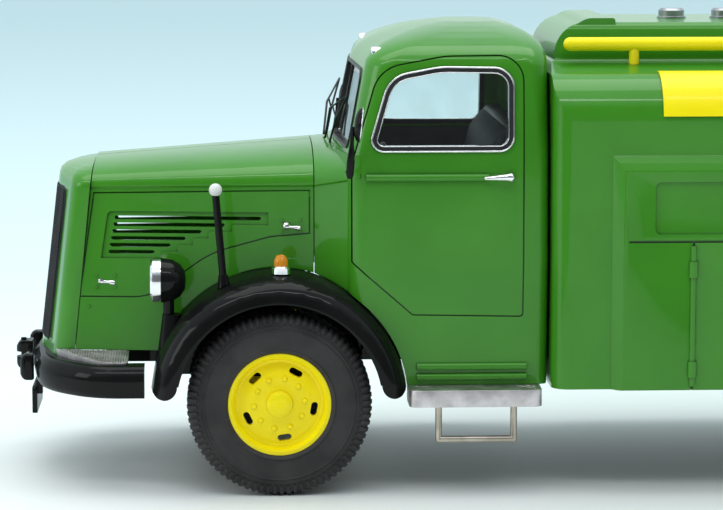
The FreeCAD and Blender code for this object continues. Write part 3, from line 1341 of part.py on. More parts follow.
def tail_lamp_base():
    """The driver's side tail lamp's socket."""
    return lathe_x([(0, tank_back_x), (1.6, tank_back_x), (1.6, tank_back_x + 0.7), (1.3, tank_back_x + 0.9),
                    (0, tank_back_x + 0.9)], -14.5, 23.0)


def tail_lamp_lens():
    """The driver's side tail lamp's red glass."""
    x = tank_back_x + 0.9
    return lathe_x([(0, x), (1.25, x), (1.2, x + 0.5), (0.7, x + 0.85), (0, x + 0.95)], -14.5, 23.0)


def rear_plate():
    """A blank number plate on the tank's back."""
    x = tank_back_x
    plate = slab([(-6.0, 20.5, 0.5), (6.0, 20.5, 0.5), (6.0, 25.0, 0.5), (-6.0, 25.0, 0.5)], on_yz(x), Vector(0.6, 0, 0))
    return plate.cut(slab([(-5.6, 20.9, 0.3), (5.6, 20.9, 0.3), (5.6, 24.6, 0.3), (-5.6, 24.6, 0.3)],
                          on_yz(x + 0.4), Vector(1, 0, 0)))


# ---------------------------------------------------------------- all nodes
def main():
    os.makedirs(OUT, exist_ok=True)
    form = cab_form()
    layers = {}
    for inset in (-0.9, -0.55, -0.3, 0.0, panel_depth, 0.4, 0.95, cab_wall, cab_wall + 0.35):
        layers[inset] = cab_layer(form, inset)
    shell = cab_shell(form, layers)
    export("cab_shell", shell)
    skin = layers[0.4].cut(layers[0.95])
    frame_skin = layers[-0.3].cut(layers[cab_wall])

    screen_way = Vector(32, 0, 0)
    screen_hole = slab(pane_corners, on_yz(-10), screen_way)
    screen_pane = slab(grown(pane_corners, -0.02), on_yz(-10), screen_way).common(skin)
    screen_ring = slab(grown(pane_corners, screen_gasket), on_yz(-10), screen_way).cut(screen_hole).common(frame_skin)
    export("windscreen_glass", pair(screen_pane))
    export("windscreen_frames", pair(screen_ring))

    side_hole = through_sides(window_corners, -WIDE, 0)
    side_pane = through_sides(grown(window_corners, -0.02), -WIDE, 0).common(skin)
    side_ring = through_sides(grown(window_corners, window_gasket), -WIDE, 0).cut(side_hole).common(frame_skin)
    export("side_glass", pair(side_pane))
    export("side_window_frames", pair(side_ring))
    rear_pane = slab(grown(rear_pane_corners, -0.02), on_yz(cab_back_x - 4), Vector(8, 0, 0)).common(skin)
    export("rear_glass", rear_pane)

    bonnet = bonnet_shell()
    well = wheel_well(fender_crest_radius + 0.05)
    well = well.cut(block(-WIDE, WIDE, -fender_inner_y + 0.9, fender_inner_y - 0.9, 0, WIDE))
    bonnet = max(bonnet.cut(well).Solids, key=lambda s: s.Volume)
    export("bonnet_shell", bonnet)
    export("radiator_shell", radiator_shell())
    export("grille", grille())
    export("bonnet_latches", bonnet_latches())

    left = fender()
    export("front_fender_left", left)
    export("front_fender_right", mirrored(left))
    export("front_bumper", front_bumper())
    export("bumper_treads", pair(bumper_tread()))
    export("overriders", pair(overrider()))
    export("tow_jaw", tow_jaw())
    export("front_plate", front_plate())
    export("headlamp_shells", pair(headlamp()))
    export("headlamp_rims", pair(headlamp_rim()))
    export("headlamp_lenses", pair(headlamp_lens()))
    export("guide_rods", pair(guide_rod()))
    export("guide_balls", pair(guide_ball()))
    export("indicator_bases", pair(indicator_base()))
    export("indicator_lenses", pair(indicator_lens()))

    export("cab_floor_pan", cab_floor_pan())
    export("bench_seat", bench_seat())
    export("dashboard", dashboard(layers))
    export("steering_wheel", steering_wheel())
    export("door_handles", pair(door_handle(shell)))
    wipers = [wiper(layers, -9.5, 45.9, -8.2, 55.0), wiper(layers, 7.0, 45.9, 8.3, 55.0)]
    fixed = Part.makeCompound([shell, screen_ring, mirrored(screen_ring)])
    wipers = [max(w.cut(fixed).Solids, key=lambda s: s.Volume) for w in wipers]
    export("wipers", Part.makeCompound(wipers))
    export("roof_lamps", pair(roof_lamp(Part.makeCompound([form, screen_ring, mirrored(screen_ring)]))))
    export("mirror_arms", pair(mirror_arm()))
    export("mirror_heads", pair(mirror_head()))
    export("cab_steps", pair(cab_step()))
    export("step_stirrups", pair(stirrup()))

    export("tank_shell", tank_shell())
    lockers = side_lockers()
    export("side_lockers", pair(lockers))
    hinges = locker_hinges()
    export("locker_hinges", Part.makeCompound(hinges + [mirrored(h) for h in hinges]))
    export("name_panels", pair(name_panel()))
    export("filler_caps", filler_caps())
    export("handrails", pair(handrail()))
    posts = handrail_posts()
    export("handrail_posts", Part.makeCompound(posts + [mirrored(p) for p in posts]))
    export("rear_arch_liners", pair(arch_liner()))
    export("rear_bumper", rear_bumper())
    export("tail_lamp_bases", pair(tail_lamp_base()))
    export("tail_lamp_lenses", pair(tail_lamp_lens()))
    export("rear_plate", rear_plate())

    export("chassis_frame", chassis_frame())
    export("base_plate", base_plate())
    export("front_springs", pair(leaf_spring(0.0)))
    export("rear_springs", pair(leaf_spring(wheelbase)))
    export("body_screws", body_screws())
    export("front_axle_pin", axle_pin(0.0, front_tyre_y + pin_tip_depth))
    export("rear_axle_pin", axle_pin(wheelbase, rear_outer_y - 0.2))
    export("front_tyres", pair(tyre(0.0, -front_tyre_y)))
    export("rear_outer_tyres", pair(tyre(wheelbase, -rear_outer_y)))
    export("rear_inner_tyres", pair(tyre(wheelbase, -rear_inner_y)))
    export("front_wheels", pair(front_wheel()))
    export("rear_wheels", pair(rear_wheel()))


main()
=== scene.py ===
# %% [markdown]
# A die-cast model of a 1950s road tanker, about 187 mm long. Its castings are already
# drawn as exact solids, so this lesson loads them, gives each one a real finish, and
# models by hand the pieces whose charm is in their small detail: the tyres, bumper,
# mirrors, wipers, catches, roof lamps, grille mesh and seat pleats. Everything is in
# metres, and the front points towards -X.

# %% Load the model and keep its box
import bpy
import math
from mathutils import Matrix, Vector


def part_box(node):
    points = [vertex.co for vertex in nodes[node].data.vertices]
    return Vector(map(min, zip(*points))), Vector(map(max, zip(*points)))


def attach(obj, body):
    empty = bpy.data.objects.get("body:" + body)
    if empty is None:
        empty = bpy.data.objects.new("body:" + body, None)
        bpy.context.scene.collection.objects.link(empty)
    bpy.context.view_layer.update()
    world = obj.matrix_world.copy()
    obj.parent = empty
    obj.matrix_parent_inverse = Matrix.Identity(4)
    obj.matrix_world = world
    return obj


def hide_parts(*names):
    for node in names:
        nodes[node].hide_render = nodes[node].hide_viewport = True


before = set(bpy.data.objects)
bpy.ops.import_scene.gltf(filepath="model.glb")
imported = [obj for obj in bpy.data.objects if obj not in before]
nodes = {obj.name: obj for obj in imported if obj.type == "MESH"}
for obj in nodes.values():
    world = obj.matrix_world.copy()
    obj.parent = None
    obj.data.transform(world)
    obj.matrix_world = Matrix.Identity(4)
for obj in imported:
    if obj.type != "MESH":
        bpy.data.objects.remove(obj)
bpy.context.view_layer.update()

low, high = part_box("front_axle_pin")
axle_x = (low.x + high.x) / 2.0
axle_z = (low.z + high.z) / 2.0
low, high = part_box("rear_axle_pin")
rear_x = (low.x + high.x) / 2.0
print("front axle at", round(axle_x, 5), "rear axle at", round(rear_x, 5), "pieces:", len(nodes))


# %% [markdown]
# Lengths on this model are easiest to think of in millimetres, counted from the front
# axle. One small function turns such a place into Blender's metres. A second one clears
# the selection, because an operator acts on everything that is selected.

# %% Places and selection
def at(x, y, z):
    return Vector((axle_x + x * 0.001, y * 0.001, z * 0.001))


def start_clean():
    if bpy.context.object and bpy.context.object.mode != "OBJECT":
        bpy.ops.object.mode_set(mode="OBJECT")
    bpy.ops.object.select_all(action="DESELECT")


start_clean()
print("a point one millimetre above the front axle:", at(0, 0, 13.6))


# %% [markdown]
# Every finish is a Principled shader fed by procedural noise. The colour of a real
# enamel is never quite even, so a soft noise moves it between two close tones. A fine
# second noise gives the bump. These two helpers add those nodes, so that each material
# cell below only says what is special about its finish.

# %% Helpers for finishes
def new_finish(name):
    finish = bpy.data.materials.new(name)
    finish.use_nodes = True
    shader = finish.node_tree.nodes["Principled BSDF"]
    return finish, finish.node_tree.nodes, finish.node_tree.links, shader


def mottle(finish, tone_a, tone_b, scale, low_stop=0.35, high_stop=0.65):
    tree = finish.node_tree
    place = tree.nodes.new("ShaderNodeTexCoord")
    noise = tree.nodes.new("ShaderNodeTexNoise")
    noise.inputs["Scale"].default_value = scale
    noise.inputs["Detail"].default_value = 4.0
    ramp = tree.nodes.new("ShaderNodeValToRGB")
    ramp.color_ramp.elements[0].position = low_stop
    ramp.color_ramp.elements[1].position = high_stop
    ramp.color_ramp.elements[0].color = (*tone_a, 1.0)
    ramp.color_ramp.elements[1].color = (*tone_b, 1.0)
    tree.links.new(place.outputs["Object"], noise.inputs["Vector"])
    tree.links.new(noise.outputs["Fac"], ramp.inputs["Fac"])
    return place, noise, ramp


def grain(finish, shader, scale, strength, distance, source=None):
    tree = finish.node_tree
    place = tree.nodes.new("ShaderNodeTexCoord")
    noise = tree.nodes.new("ShaderNodeTexNoise")
    noise.inputs["Scale"].default_value = scale
    noise.inputs["Detail"].default_value = 2.0
    bump = tree.nodes.new("ShaderNodeBump")
    bump.inputs["Strength"].default_value = strength
    bump.inputs["Distance"].default_value = distance
    tree.links.new(place.outputs["Object"], noise.inputs["Vector"])
    tree.links.new(noise.outputs["Fac"], bump.inputs["Height"])
    if source is not None:
        tree.links.new(source.outputs["Normal"], bump.inputs["Normal"])
    tree.links.new(bump.outputs["Normal"], shader.inputs["Normal"])
    return bump


def soft_edges(finish, radius):
    edge = finish.node_tree.nodes.new("ShaderNodeBevel")
    edge.samples = 4
    edge.inputs["Radius"].default_value = radius
    return edge


print("helpers ready")


# %% [markdown]
# The cab, bonnet and tank are zinc castings sprayed with a glossy enamel. Enamel is a
# colour coat under a clear one, so the shader's coat does the shine. Painted shade darkens
# the engraved joints and the corners between parts nearly to black: an ambient occlusion
# node with a very short reach finds them. A rounded-edge node stands for the film's
# thickness.

# %% Enamel in three colours
def enamel(name, tone_a, tone_b, painted_seam_shade, rough, coat, coat_rough, specular=0.2):
    finish, made, links, shader = new_finish(name)
    place, noise, ramp = mottle(finish, tone_a, tone_b, 90.0)
    # Painted shade: the occlusion darkens the colour towards the seam shade in joints and corners.
    gap = made.new("ShaderNodeAmbientOcclusion")
    gap.samples = 6
    gap.inputs["Distance"].default_value = 0.00045
    shade = made.new("ShaderNodeValToRGB")
    shade.color_ramp.elements[0].position = 0.30
    shade.color_ramp.elements[1].position = 0.78
    mix = made.new("ShaderNodeMixRGB")
    mix.inputs["Color1"].default_value = (*painted_seam_shade, 1.0)
    links.new(gap.outputs["AO"], shade.inputs["Fac"])
    links.new(shade.outputs["Color"], mix.inputs["Fac"])
    links.new(ramp.outputs["Color"], mix.inputs["Color2"])
    links.new(mix.outputs["Color"], shader.inputs["Base Color"])
    shader.inputs["Roughness"].default_value = rough
    shader.inputs["Specular IOR Level"].default_value = specular
    shader.inputs["Coat Weight"].default_value = coat
    shader.inputs["Coat Roughness"].default_value = coat_rough
    shader.inputs["Coat IOR"].default_value = 1.5
    grain(finish, shader, 1500.0, 0.05, 0.00003, soft_edges(finish, 0.00012))
    return finish


# Each enamel's seam shade is the colour of its painted shade in joints and corners.
green_enamel = enamel("green_enamel", tone_a=(0.036, 0.225, 0.006), tone_b=(0.044, 0.250, 0.009),
                      painted_seam_shade=(0.008, 0.060, 0.003), rough=0.38, coat=0.55, coat_rough=0.05)
black_enamel = enamel("black_enamel", tone_a=(0.004, 0.004, 0.004), tone_b=(0.008, 0.008, 0.008),
                      painted_seam_shade=(0.001, 0.001, 0.001), rough=0.45, coat=0.30, coat_rough=0.03, specular=0.02)
yellow_enamel = enamel("yellow_enamel", tone_a=(1.0, 0.80, 0.001), tone_b=(1.0, 0.86, 0.002),
                       painted_seam_shade=(0.55, 0.36, 0.0), rough=0.45, coat=0.25, coat_rough=0.12)
print("enamels:", green_enamel.name, black_enamel.name, yellow_enamel.name)


# %% [markdown]
# Plating, bare metal and silver paint are the bright finishes. Plating on small trim is
# a mirror with faint waves. The cast steps and the bumper's plates are sprayed silver,
# dirt varying its tone at random. The foot rail is dull nickel wire.

# %% Bright finishes
def metal(name, tone_a, tone_b, rough_a, rough_b, wave):
    finish, made, links, shader = new_finish(name)
    place, noise, ramp = mottle(finish, tone_a, tone_b, 400.0)
    links.new(ramp.outputs["Color"], shader.inputs["Base Color"])
    shine = made.new("ShaderNodeMapRange")
    shine.inputs["To Min"].default_value = rough_a
    shine.inputs["To Max"].default_value = rough_b
    links.new(noise.outputs["Fac"], shine.inputs["Value"])
    links.new(shine.outputs["Result"], shader.inputs["Roughness"])
    shader.inputs["Metallic"].default_value = 1.0
    grain(finish, shader, 2200.0, wave, 0.00002, soft_edges(finish, 0.00006))
    return finish


bright_plating = metal("bright_plating", (0.80, 0.80, 0.82), (0.90, 0.90, 0.92), 0.05, 0.16, 0.10)
nickel_wire = metal("nickel_wire", (0.42, 0.37, 0.31), (0.60, 0.55, 0.47), 0.26, 0.46, 0.30)
turned_steel = metal("turned_steel", (0.42, 0.42, 0.43), (0.58, 0.58, 0.60), 0.22, 0.38, 0.25)
cap_metal = metal("cap_metal", (0.34, 0.35, 0.37), (0.50, 0.51, 0.54), 0.30, 0.48, 0.30)
silver_paint = metal("silver_paint", (0.50, 0.47, 0.48), (0.78, 0.73, 0.75), 0.34, 0.52, 0.45)
print("bright finishes ready")


# %% [markdown]
# Rubber is dark but never black: dust settles into its roughness. The cabin, the grille
# and the wipers are matt mouldings with a fine spark-eroded texture.

# %% Rubber and mouldings
def moulding(name, tone_a, tone_b, rough, texture, strength):
    finish, made, links, shader = new_finish(name)
    place, noise, ramp = mottle(finish, tone_a, tone_b, 260.0)
    links.new(ramp.outputs["Color"], shader.inputs["Base Color"])
    shader.inputs["Roughness"].default_value = rough
    shader.inputs["Specular IOR Level"].default_value = 0.4
    grain(finish, shader, texture, strength, 0.00004, soft_edges(finish, 0.00008))
    return finish


tyre_rubber = moulding("tyre_rubber", (0.017, 0.016, 0.017), (0.034, 0.031, 0.032), 0.56, 1700.0, 0.35)
dark_moulding = moulding("dark_moulding", (0.010, 0.010, 0.011), (0.020, 0.020, 0.022), 0.42, 1500.0, 0.3)
cabin_moulding = moulding("cabin_moulding", (0.024, 0.028, 0.031), (0.044, 0.049, 0.053), 0.50, 1500.0, 0.4)
mesh_wire = moulding("mesh_wire", (0.014, 0.015, 0.018), (0.030, 0.032, 0.036), 0.55, 1500.0, 0.1)
white_moulding = moulding("white_moulding", (0.70, 0.70, 0.68), (0.86, 0.86, 0.84), 0.35, 1500.0, 0.1)
print("mouldings ready")


# %% [markdown]
# Panes are clear plastic, a little green at the edge. A thin pane that transmits all its
# light needs only a Principled shader with full transmission. The lenses are the same
# plastic, dyed.

# %% Panes and lenses
def clear_plastic(name, tone, rough, weight):
    finish, made, links, shader = new_finish(name)
    place, noise, ramp = mottle(finish, tone, tuple(min(1.0, c * 1.06) for c in tone), 300.0)
    links.new(ramp.outputs["Color"], shader.inputs["Base Color"])
    shader.inputs["Roughness"].default_value = rough
    shader.inputs["IOR"].default_value = 1.45
    shader.inputs["Transmission Weight"].default_value = weight
    grain(finish, shader, 300.0, 0.03, 0.00002)
    return finish


pane_plastic = clear_plastic("pane_plastic", (0.90, 0.95, 0.94), 0.01, 1.0)
lamp_glass = clear_plastic("lamp_glass", (0.92, 0.94, 0.95), 0.04, 0.9)
amber_plastic = clear_plastic("amber_plastic", (0.95, 0.36, 0.02), 0.12, 0.35)
red_plastic = clear_plastic("red_plastic", (0.62, 0.02, 0.015), 0.12, 0.35)
print("clear plastics ready")


# %% [markdown]
# The castings keep their exact shape. Their faces come as loose triangles, so a Weld
# modifier joins them and an Edge Split modifier keeps the crisp edges crisp while the
# curved skins are shaded smooth. A few thick castings get a Bevel modifier instead,
# because paint rounds their edges. Modifiers leave the solid's own mesh untouched.

# %% Finish the castings
def finish_casting(name, finish, angle=32.0, soft=0.0):
    casting = nodes[name]
    casting.data.polygons.foreach_set("use_smooth", [True] * len(casting.data.polygons))
    weld = casting.modifiers.new("join_faces", "WELD")
    weld.merge_threshold = 0.000002
    if soft > 0.0:
        flat = casting.modifiers.new("join_flats", "DECIMATE")
        flat.decimate_type = "DISSOLVE"
        flat.angle_limit = math.radians(1.0)
        bevel = casting.modifiers.new("rounded_edges", "BEVEL")
        bevel.limit_method = "ANGLE"
        bevel.angle_limit = math.radians(35.0)
        bevel.width = soft
        bevel.segments = 3
        bevel.harden_normals = True
    else:
        split = casting.modifiers.new("crisp_edges", "EDGE_SPLIT")
        split.split_angle = math.radians(angle)
        shine = casting.modifiers.new("even_shine", "WEIGHTED_NORMAL")
        shine.keep_sharp = True
    for slot in casting.material_slots:
        slot.material = finish
    return casting


casting_finish = {
    "cab_shell": green_enamel, "bonnet_shell": green_enamel, "radiator_shell": green_enamel,
    "tank_shell": green_enamel, "side_lockers": green_enamel, "name_panels": yellow_enamel,
    "front_fender_left": black_enamel, "front_fender_right": black_enamel, "front_bumper": black_enamel,
    "chassis_frame": black_enamel, "base_plate": black_enamel, "front_springs": black_enamel,
    "rear_springs": black_enamel, "rear_arch_liners": black_enamel, "rear_bumper": black_enamel,
    "guide_rods": black_enamel, "mirror_arms": black_enamel, "mirror_heads": black_enamel,
    "front_wheels": yellow_enamel, "rear_wheels": yellow_enamel,
    "cab_steps": silver_paint, "bumper_treads": silver_paint, "step_stirrups": nickel_wire,
    "headlamp_shells": black_enamel, "headlamp_rims": bright_plating, "door_handles": bright_plating,
    "bonnet_latches": bright_plating, "indicator_bases": bright_plating, "tail_lamp_bases": bright_plating,
    "windscreen_frames": dark_moulding, "side_window_frames": dark_moulding,
    "front_axle_pin": turned_steel, "rear_axle_pin": turned_steel, "body_screws": turned_steel,
    "locker_hinges": green_enamel, "filler_caps": cap_metal, "handrails": yellow_enamel,
    "handrail_posts": yellow_enamel, "windscreen_glass": pane_plastic, "side_glass": pane_plastic,
    "rear_glass": pane_plastic, "headlamp_lenses": lamp_glass, "indicator_lenses": amber_plastic,
    "tail_lamp_lenses": red_plastic, "guide_balls": white_moulding, "front_plate": black_enamel,
    "rear_plate": black_enamel, "grille": dark_moulding, "wipers": dark_moulding,
    "overriders": black_enamel, "tow_jaw": black_enamel, "cab_floor_pan": cabin_moulding,
    "bench_seat": cabin_moulding, "dashboard": cabin_moulding, "steering_wheel": dark_moulding,
    "front_tyres": tyre_rubber, "rear_outer_tyres": tyre_rubber, "rear_inner_tyres": tyre_rubber,
    "roof_lamps": bright_plating,
}
casting_softness = {
    "front_bumper": 0.00055, "overriders": 0.0004, "tow_jaw": 0.0004, "front_plate": 0.00012,
    "rear_bumper": 0.0004, "bench_seat": 0.0005, "side_lockers": 0.00018, "cab_steps": 0.00015,
}
for name in nodes:
    finish_casting(name, casting_finish[name], soft=casting_softness.get(name, 0.0))
print("finished", len(nodes), "castings")


# %% [markdown]
# The next pieces are modelled by hand. A turned piece starts as one point. It is
# extruded to the next place on its outline, and the next, until half of the section
# stands there as a line, and the Spin operator sweeps that line round an axis. Doubled
# points are merged at the end, and the faces are turned to look outwards.

# %% Drawing a line and spinning it
def one_point(name, place):
    start_clean()
    bpy.ops.mesh.primitive_plane_add(size=0.001, location=place)
    piece = bpy.context.object
    piece.name = name
    bpy.ops.object.transform_apply(location=True, rotation=True, scale=True)
    bpy.ops.object.mode_set(mode="EDIT")
    bpy.ops.mesh.select_mode(type="VERT")
    bpy.ops.mesh.select_all(action="SELECT")
    bpy.ops.mesh.merge(type="CENTER")
    return piece


def draw_line(name, spots):
    piece = one_point(name, spots[0])
    for here, there in zip(spots, spots[1:]):
        bpy.ops.mesh.extrude_region_move(TRANSFORM_OT_translate={"value": there - here})
    return piece


def tidy_faces():
    bpy.ops.mesh.select_all(action="SELECT")
    bpy.ops.mesh.remove_doubles(threshold=0.000002)
    bpy.ops.mesh.normals_make_consistent(inside=False)


def spun(name, spots, centre, axis, steps):
    piece = draw_line(name, spots)
    bpy.ops.mesh.select_all(action="SELECT")
    bpy.ops.mesh.spin(steps=steps, angle=2.0 * math.pi, center=centre, axis=axis, use_auto_merge=True)
    tidy_faces()
    bpy.ops.object.mode_set(mode="OBJECT")
    return piece


def choose_faces(piece, wanted):
    bpy.ops.object.mode_set(mode="EDIT")
    bpy.ops.mesh.select_mode(type="FACE")
    bpy.ops.mesh.select_all(action="DESELECT")
    bpy.ops.object.mode_set(mode="OBJECT")
    count = 0
    for face in piece.data.polygons:
        face.select = wanted(face.center, face.normal)
        count += face.select
    bpy.ops.object.mode_set(mode="EDIT")
    return count


print("drawing helpers ready")


# %% [markdown]
# What repeats is modelled once and copied. A copy for the other side of the lorry is
# scaled by minus one across it, which turns it inside out, so its faces are turned back.
# Every finished piece gets a finish, the body that it rides on and its material slot.

# %% Copying and finishing
def copy_of(piece, name, shift=(0.0, 0.0, 0.0), other_side=False):
    start_clean()
    piece.select_set(True)
    bpy.context.view_layer.objects.active = piece
    bpy.ops.object.duplicate()
    copy = bpy.context.object
    copy.name = name
    bpy.ops.object.mode_set(mode="EDIT")
    bpy.ops.mesh.select_all(action="SELECT")
    if other_side:
        bpy.ops.transform.resize(value=(1.0, -1.0, 1.0), center_override=(0.0, 0.0, 0.0))
    bpy.ops.transform.translate(value=shift)
    if other_side:
        bpy.ops.mesh.flip_normals()
    bpy.ops.object.mode_set(mode="OBJECT")
    return copy


def join_pieces(name, pieces):
    start_clean()
    for piece in pieces:
        piece.select_set(True)
    bpy.context.view_layer.objects.active = pieces[0]
    bpy.ops.object.join()
    pieces[0].name = name
    return pieces[0]


def finish_piece(piece, finish, body, stands_for=None, angle=40.0):
    start_clean()
    piece.select_set(True)
    bpy.context.view_layer.objects.active = piece
    bpy.ops.object.shade_smooth_by_angle(angle=math.radians(angle))
    piece.data.materials.clear()
    piece.data.materials.append(finish)
    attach(piece, body)
    if stands_for:
        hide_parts(stands_for)
    print(piece.name, len(piece.data.polygons), "faces")


def tube(name, spots, radius, closed=False):
    piece = draw_line(name, spots)
    bpy.ops.object.mode_set(mode="OBJECT")
    bpy.ops.object.convert(target="CURVE")
    piece = bpy.context.object
    piece.data.splines[0].use_cyclic_u = closed
    piece.data.bevel_depth = radius
    piece.data.bevel_resolution = 3
    piece.data.use_fill_caps = True
    bpy.ops.object.convert(target="MESH")
    piece = bpy.context.object
    bpy.ops.object.mode_set(mode="EDIT")
    tidy_faces()
    bpy.ops.object.mode_set(mode="OBJECT")
    return piece


print("finishing helpers ready")


# %% [markdown]
# The tyres are soft mouldings with eighty blocks round each shoulder and two fine rings
# on the wall. Modelling eighty blocks one by one would be slow and uneven. The plain
# tyre is spun in one hundred and sixty steps instead, and every second strip of its
# shoulder is pushed out along its normals in one extrusion.

# %% One tyre
def tyre_outline(centre_x, middle_y):
    wall = [(7.0, 2.65), (7.3, 3.0), (7.55, 3.1), (7.7, 2.98), (8.1, 3.05), (9.0, 3.18), (9.9, 3.2),
            (10.12, 3.19), (10.2, 3.29), (10.32, 3.29), (10.4, 3.17), (10.6, 3.15), (10.68, 3.25),
            (10.8, 3.24), (10.88, 3.1), (11.15, 3.02), (11.75, 2.86), (12.15, 2.56), (12.32, 2.2),
            (12.36, 1.6), (12.0, 1.5), (12.0, 1.3), (12.46, 1.2), (12.5, 0.35), (12.2, 0.25)]
    rows = [(r, -y) for r, y in wall] + [(r, y) for r, y in reversed(wall)]
    return [Vector((centre_x, middle_y + y * 0.001, axle_z + r * 0.001)) for r, y in rows]


def make_tyre(name, centre_x, middle_y):
    centre = Vector((centre_x, middle_y, axle_z))
    piece = spun(name, tyre_outline(centre_x, middle_y), centre, (0.0, 1.0, 0.0), 160)
    step = 2.0 * math.pi / 160.0

    def is_block(spot, normal):
        radius = math.hypot(spot.x - centre.x, spot.z - centre.z) * 1000.0
        off = abs(spot.y - centre.y) * 1000.0
        turn = math.atan2(spot.z - centre.z, spot.x - centre.x) % (2.0 * math.pi)
        return radius > 11.1 and off > 1.7 and int(turn / step) % 2 == 0

    blocks = choose_faces(piece, is_block)
    bpy.ops.mesh.extrude_region_shrink_fatten(TRANSFORM_OT_shrink_fatten={"value": 0.00022})
    tidy_faces()
    bpy.ops.object.mode_set(mode="OBJECT")
    print(name, "block faces:", blocks)
    return piece


tyre_half_width = 0.0033
low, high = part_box("front_tyres")
front_tyre_y = high.y - tyre_half_width
near_tyre = make_tyre("front_tyre_pair", axle_x, -front_tyre_y)
lowest = min((near_tyre.matrix_world @ v.co).z for v in near_tyre.data.vertices)
print("tyre reaches down to", round(lowest, 5))


# %% [markdown]
# The front axle has one tyre at each side and the rear axle two. They are all the same
# tyre, so the first one is copied to its places, and each set becomes one piece.

# %% All six tyres
far_tyre = copy_of(near_tyre, "front_tyre_far", other_side=True)
low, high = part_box("rear_outer_tyres")
outer_y = high.y - tyre_half_width
low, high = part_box("rear_inner_tyres")
inner_y = high.y - tyre_half_width
rear_tyres = []
for name, place_y in (("rear_outer_pair", outer_y), ("rear_inner_pair", inner_y)):
    near_copy = copy_of(near_tyre, name, shift=(rear_x - axle_x, front_tyre_y - place_y, 0.0))
    far_copy = copy_of(near_copy, name + "_far", other_side=True)
    rear_tyres.append(join_pieces(name, [near_copy, far_copy]))
near_tyre = join_pieces("front_tyre_pair", [near_tyre, far_tyre])
finish_piece(near_tyre, tyre_rubber, "front_axle", "front_tyres", 30.0)
finish_piece(rear_tyres[0], tyre_rubber, "rear_axle", "rear_outer_tyres", 30.0)
finish_piece(rear_tyres[1], tyre_rubber, "rear_axle", "rear_inner_tyres", 30.0)


# %% [markdown]
# Fine wire mesh fills the radiator's mouth. A line is drawn across the bow of the
# radiator and extruded upwards row by row, which gives a grid that follows the bow.
# The Wireframe modifier then turns the grid's edges into wires. The solid behind it
# stays as the dark background.

# %% Radiator mesh
def bow_x(y, z):
    nose = -25.4 - 5.6 - (41.0 - z) * 0.117 + 0.10
    reach = abs(y)
    return nose + reach * reach / 45.6 if reach < 4.7 else nose - 0.54 + 0.219 * reach


columns = [-8.95 + 17.9 * k / 44.0 for k in range(45)]
rows = [19.2 + 21.1 * k / 50.0 for k in range(51)]
radiator_mesh = draw_line("radiator_mesh", [at(bow_x(y, rows[0]), y, rows[0]) for y in columns])
bpy.ops.mesh.select_all(action="SELECT")
for below, above in zip(rows, rows[1:]):
    climb = at(bow_x(0.0, above), 0.0, above) - at(bow_x(0.0, below), 0.0, below)
    bpy.ops.mesh.extrude_region_move(TRANSFORM_OT_translate={"value": climb})
bpy.ops.object.mode_set(mode="OBJECT")
wires = radiator_mesh.modifiers.new("wires", "WIREFRAME")
wires.thickness = 0.00015
wires.use_even_offset = False
bpy.ops.object.modifier_apply(modifier="wires")
finish_piece(radiator_mesh, mesh_wire, "lorry", None, 30.0)


# %% [markdown]
# The door windows sit in black rubber with a bright bead round the outside. The rubber
# is the casting's own frame. The bead is a round wire: its rounded outline is drawn on
# the barrel-shaped side of the cab, turned into a curve, given a thickness, and turned
# back into a mesh.

# %% Window beads
def rounded_outline(corners, steps=8):
    spots = []
    for k, (x, z, radius) in enumerate(corners):
        here = Vector((x, 0.0, z))
        back = (Vector((corners[k - 1][0], 0.0, corners[k - 1][1])) - here).normalized()
        ahead_corner = corners[(k + 1) % len(corners)]
        ahead = (Vector((ahead_corner[0], 0.0, ahead_corner[1])) - here).normalized()
        half = back.angle(ahead) / 2.0
        middle = here + (back + ahead).normalized() * (radius / math.sin(half))
        start = here + back * (radius / math.tan(half)) - middle
        stop = here + ahead * (radius / math.tan(half)) - middle
        for n in range(steps + 1):
            spot = start.lerp(stop, n / steps).normalized() * radius + middle
            spots.append((spot.x, spot.z))
    return spots


def cab_side(z):
    return -(24.2 - 150.0 + math.sqrt(150.0 ** 2 - (z - 32.0) ** 2))


# x, z and corner radius, in millimetres
outer_corners = [(12.05, 46.7, 1.6), (31.8, 46.7, 2.0), (31.85, 57.85, 2.7),
                 (21.9, 58.0, 12.7), (15.05, 56.72, 3.9)]
inner_corners = [(13.0, 47.4, 0.9), (31.1, 47.4, 1.3), (31.15, 57.15, 2.0),
                 (22.0, 57.3, 12.0), (15.6, 56.1, 3.2)]
bead_rows = (("outer", outer_corners, 0.24, 0.00013), ("inner", inner_corners, 0.28, 0.00007))
beads = []
for name, corners, proud, radius in bead_rows:
    spots = [at(x, cab_side(z) - proud, z) for x, z in rounded_outline(corners)]
    beads.append(tube("window_bead_" + name, spots, radius, closed=True))
    beads.append(copy_of(beads[-1], "window_bead_far_" + name, other_side=True))
window_beads = join_pieces("window_beads", beads)
finish_piece(window_beads, bright_plating, "lorry")
# %% [markdown]
# The bumper is pressed from thick plate, with a bulging face and a rounded top edge. Its
# plan is drawn as one line, from one end round the front to the other. The line is
# extruded upwards in small steps. After each step it is scaled in or out a little,
# which gives the face its bulge, and the two ends are closed with a face each.

# %% Front bumper
def choose_points(piece, wanted):
    bpy.ops.mesh.select_mode(type="VERT")
    bpy.ops.mesh.select_all(action="DESELECT")
    bpy.ops.object.mode_set(mode="OBJECT")
    for point in piece.data.vertices:
        point.select = wanted(point.co)
    bpy.ops.object.mode_set(mode="EDIT")


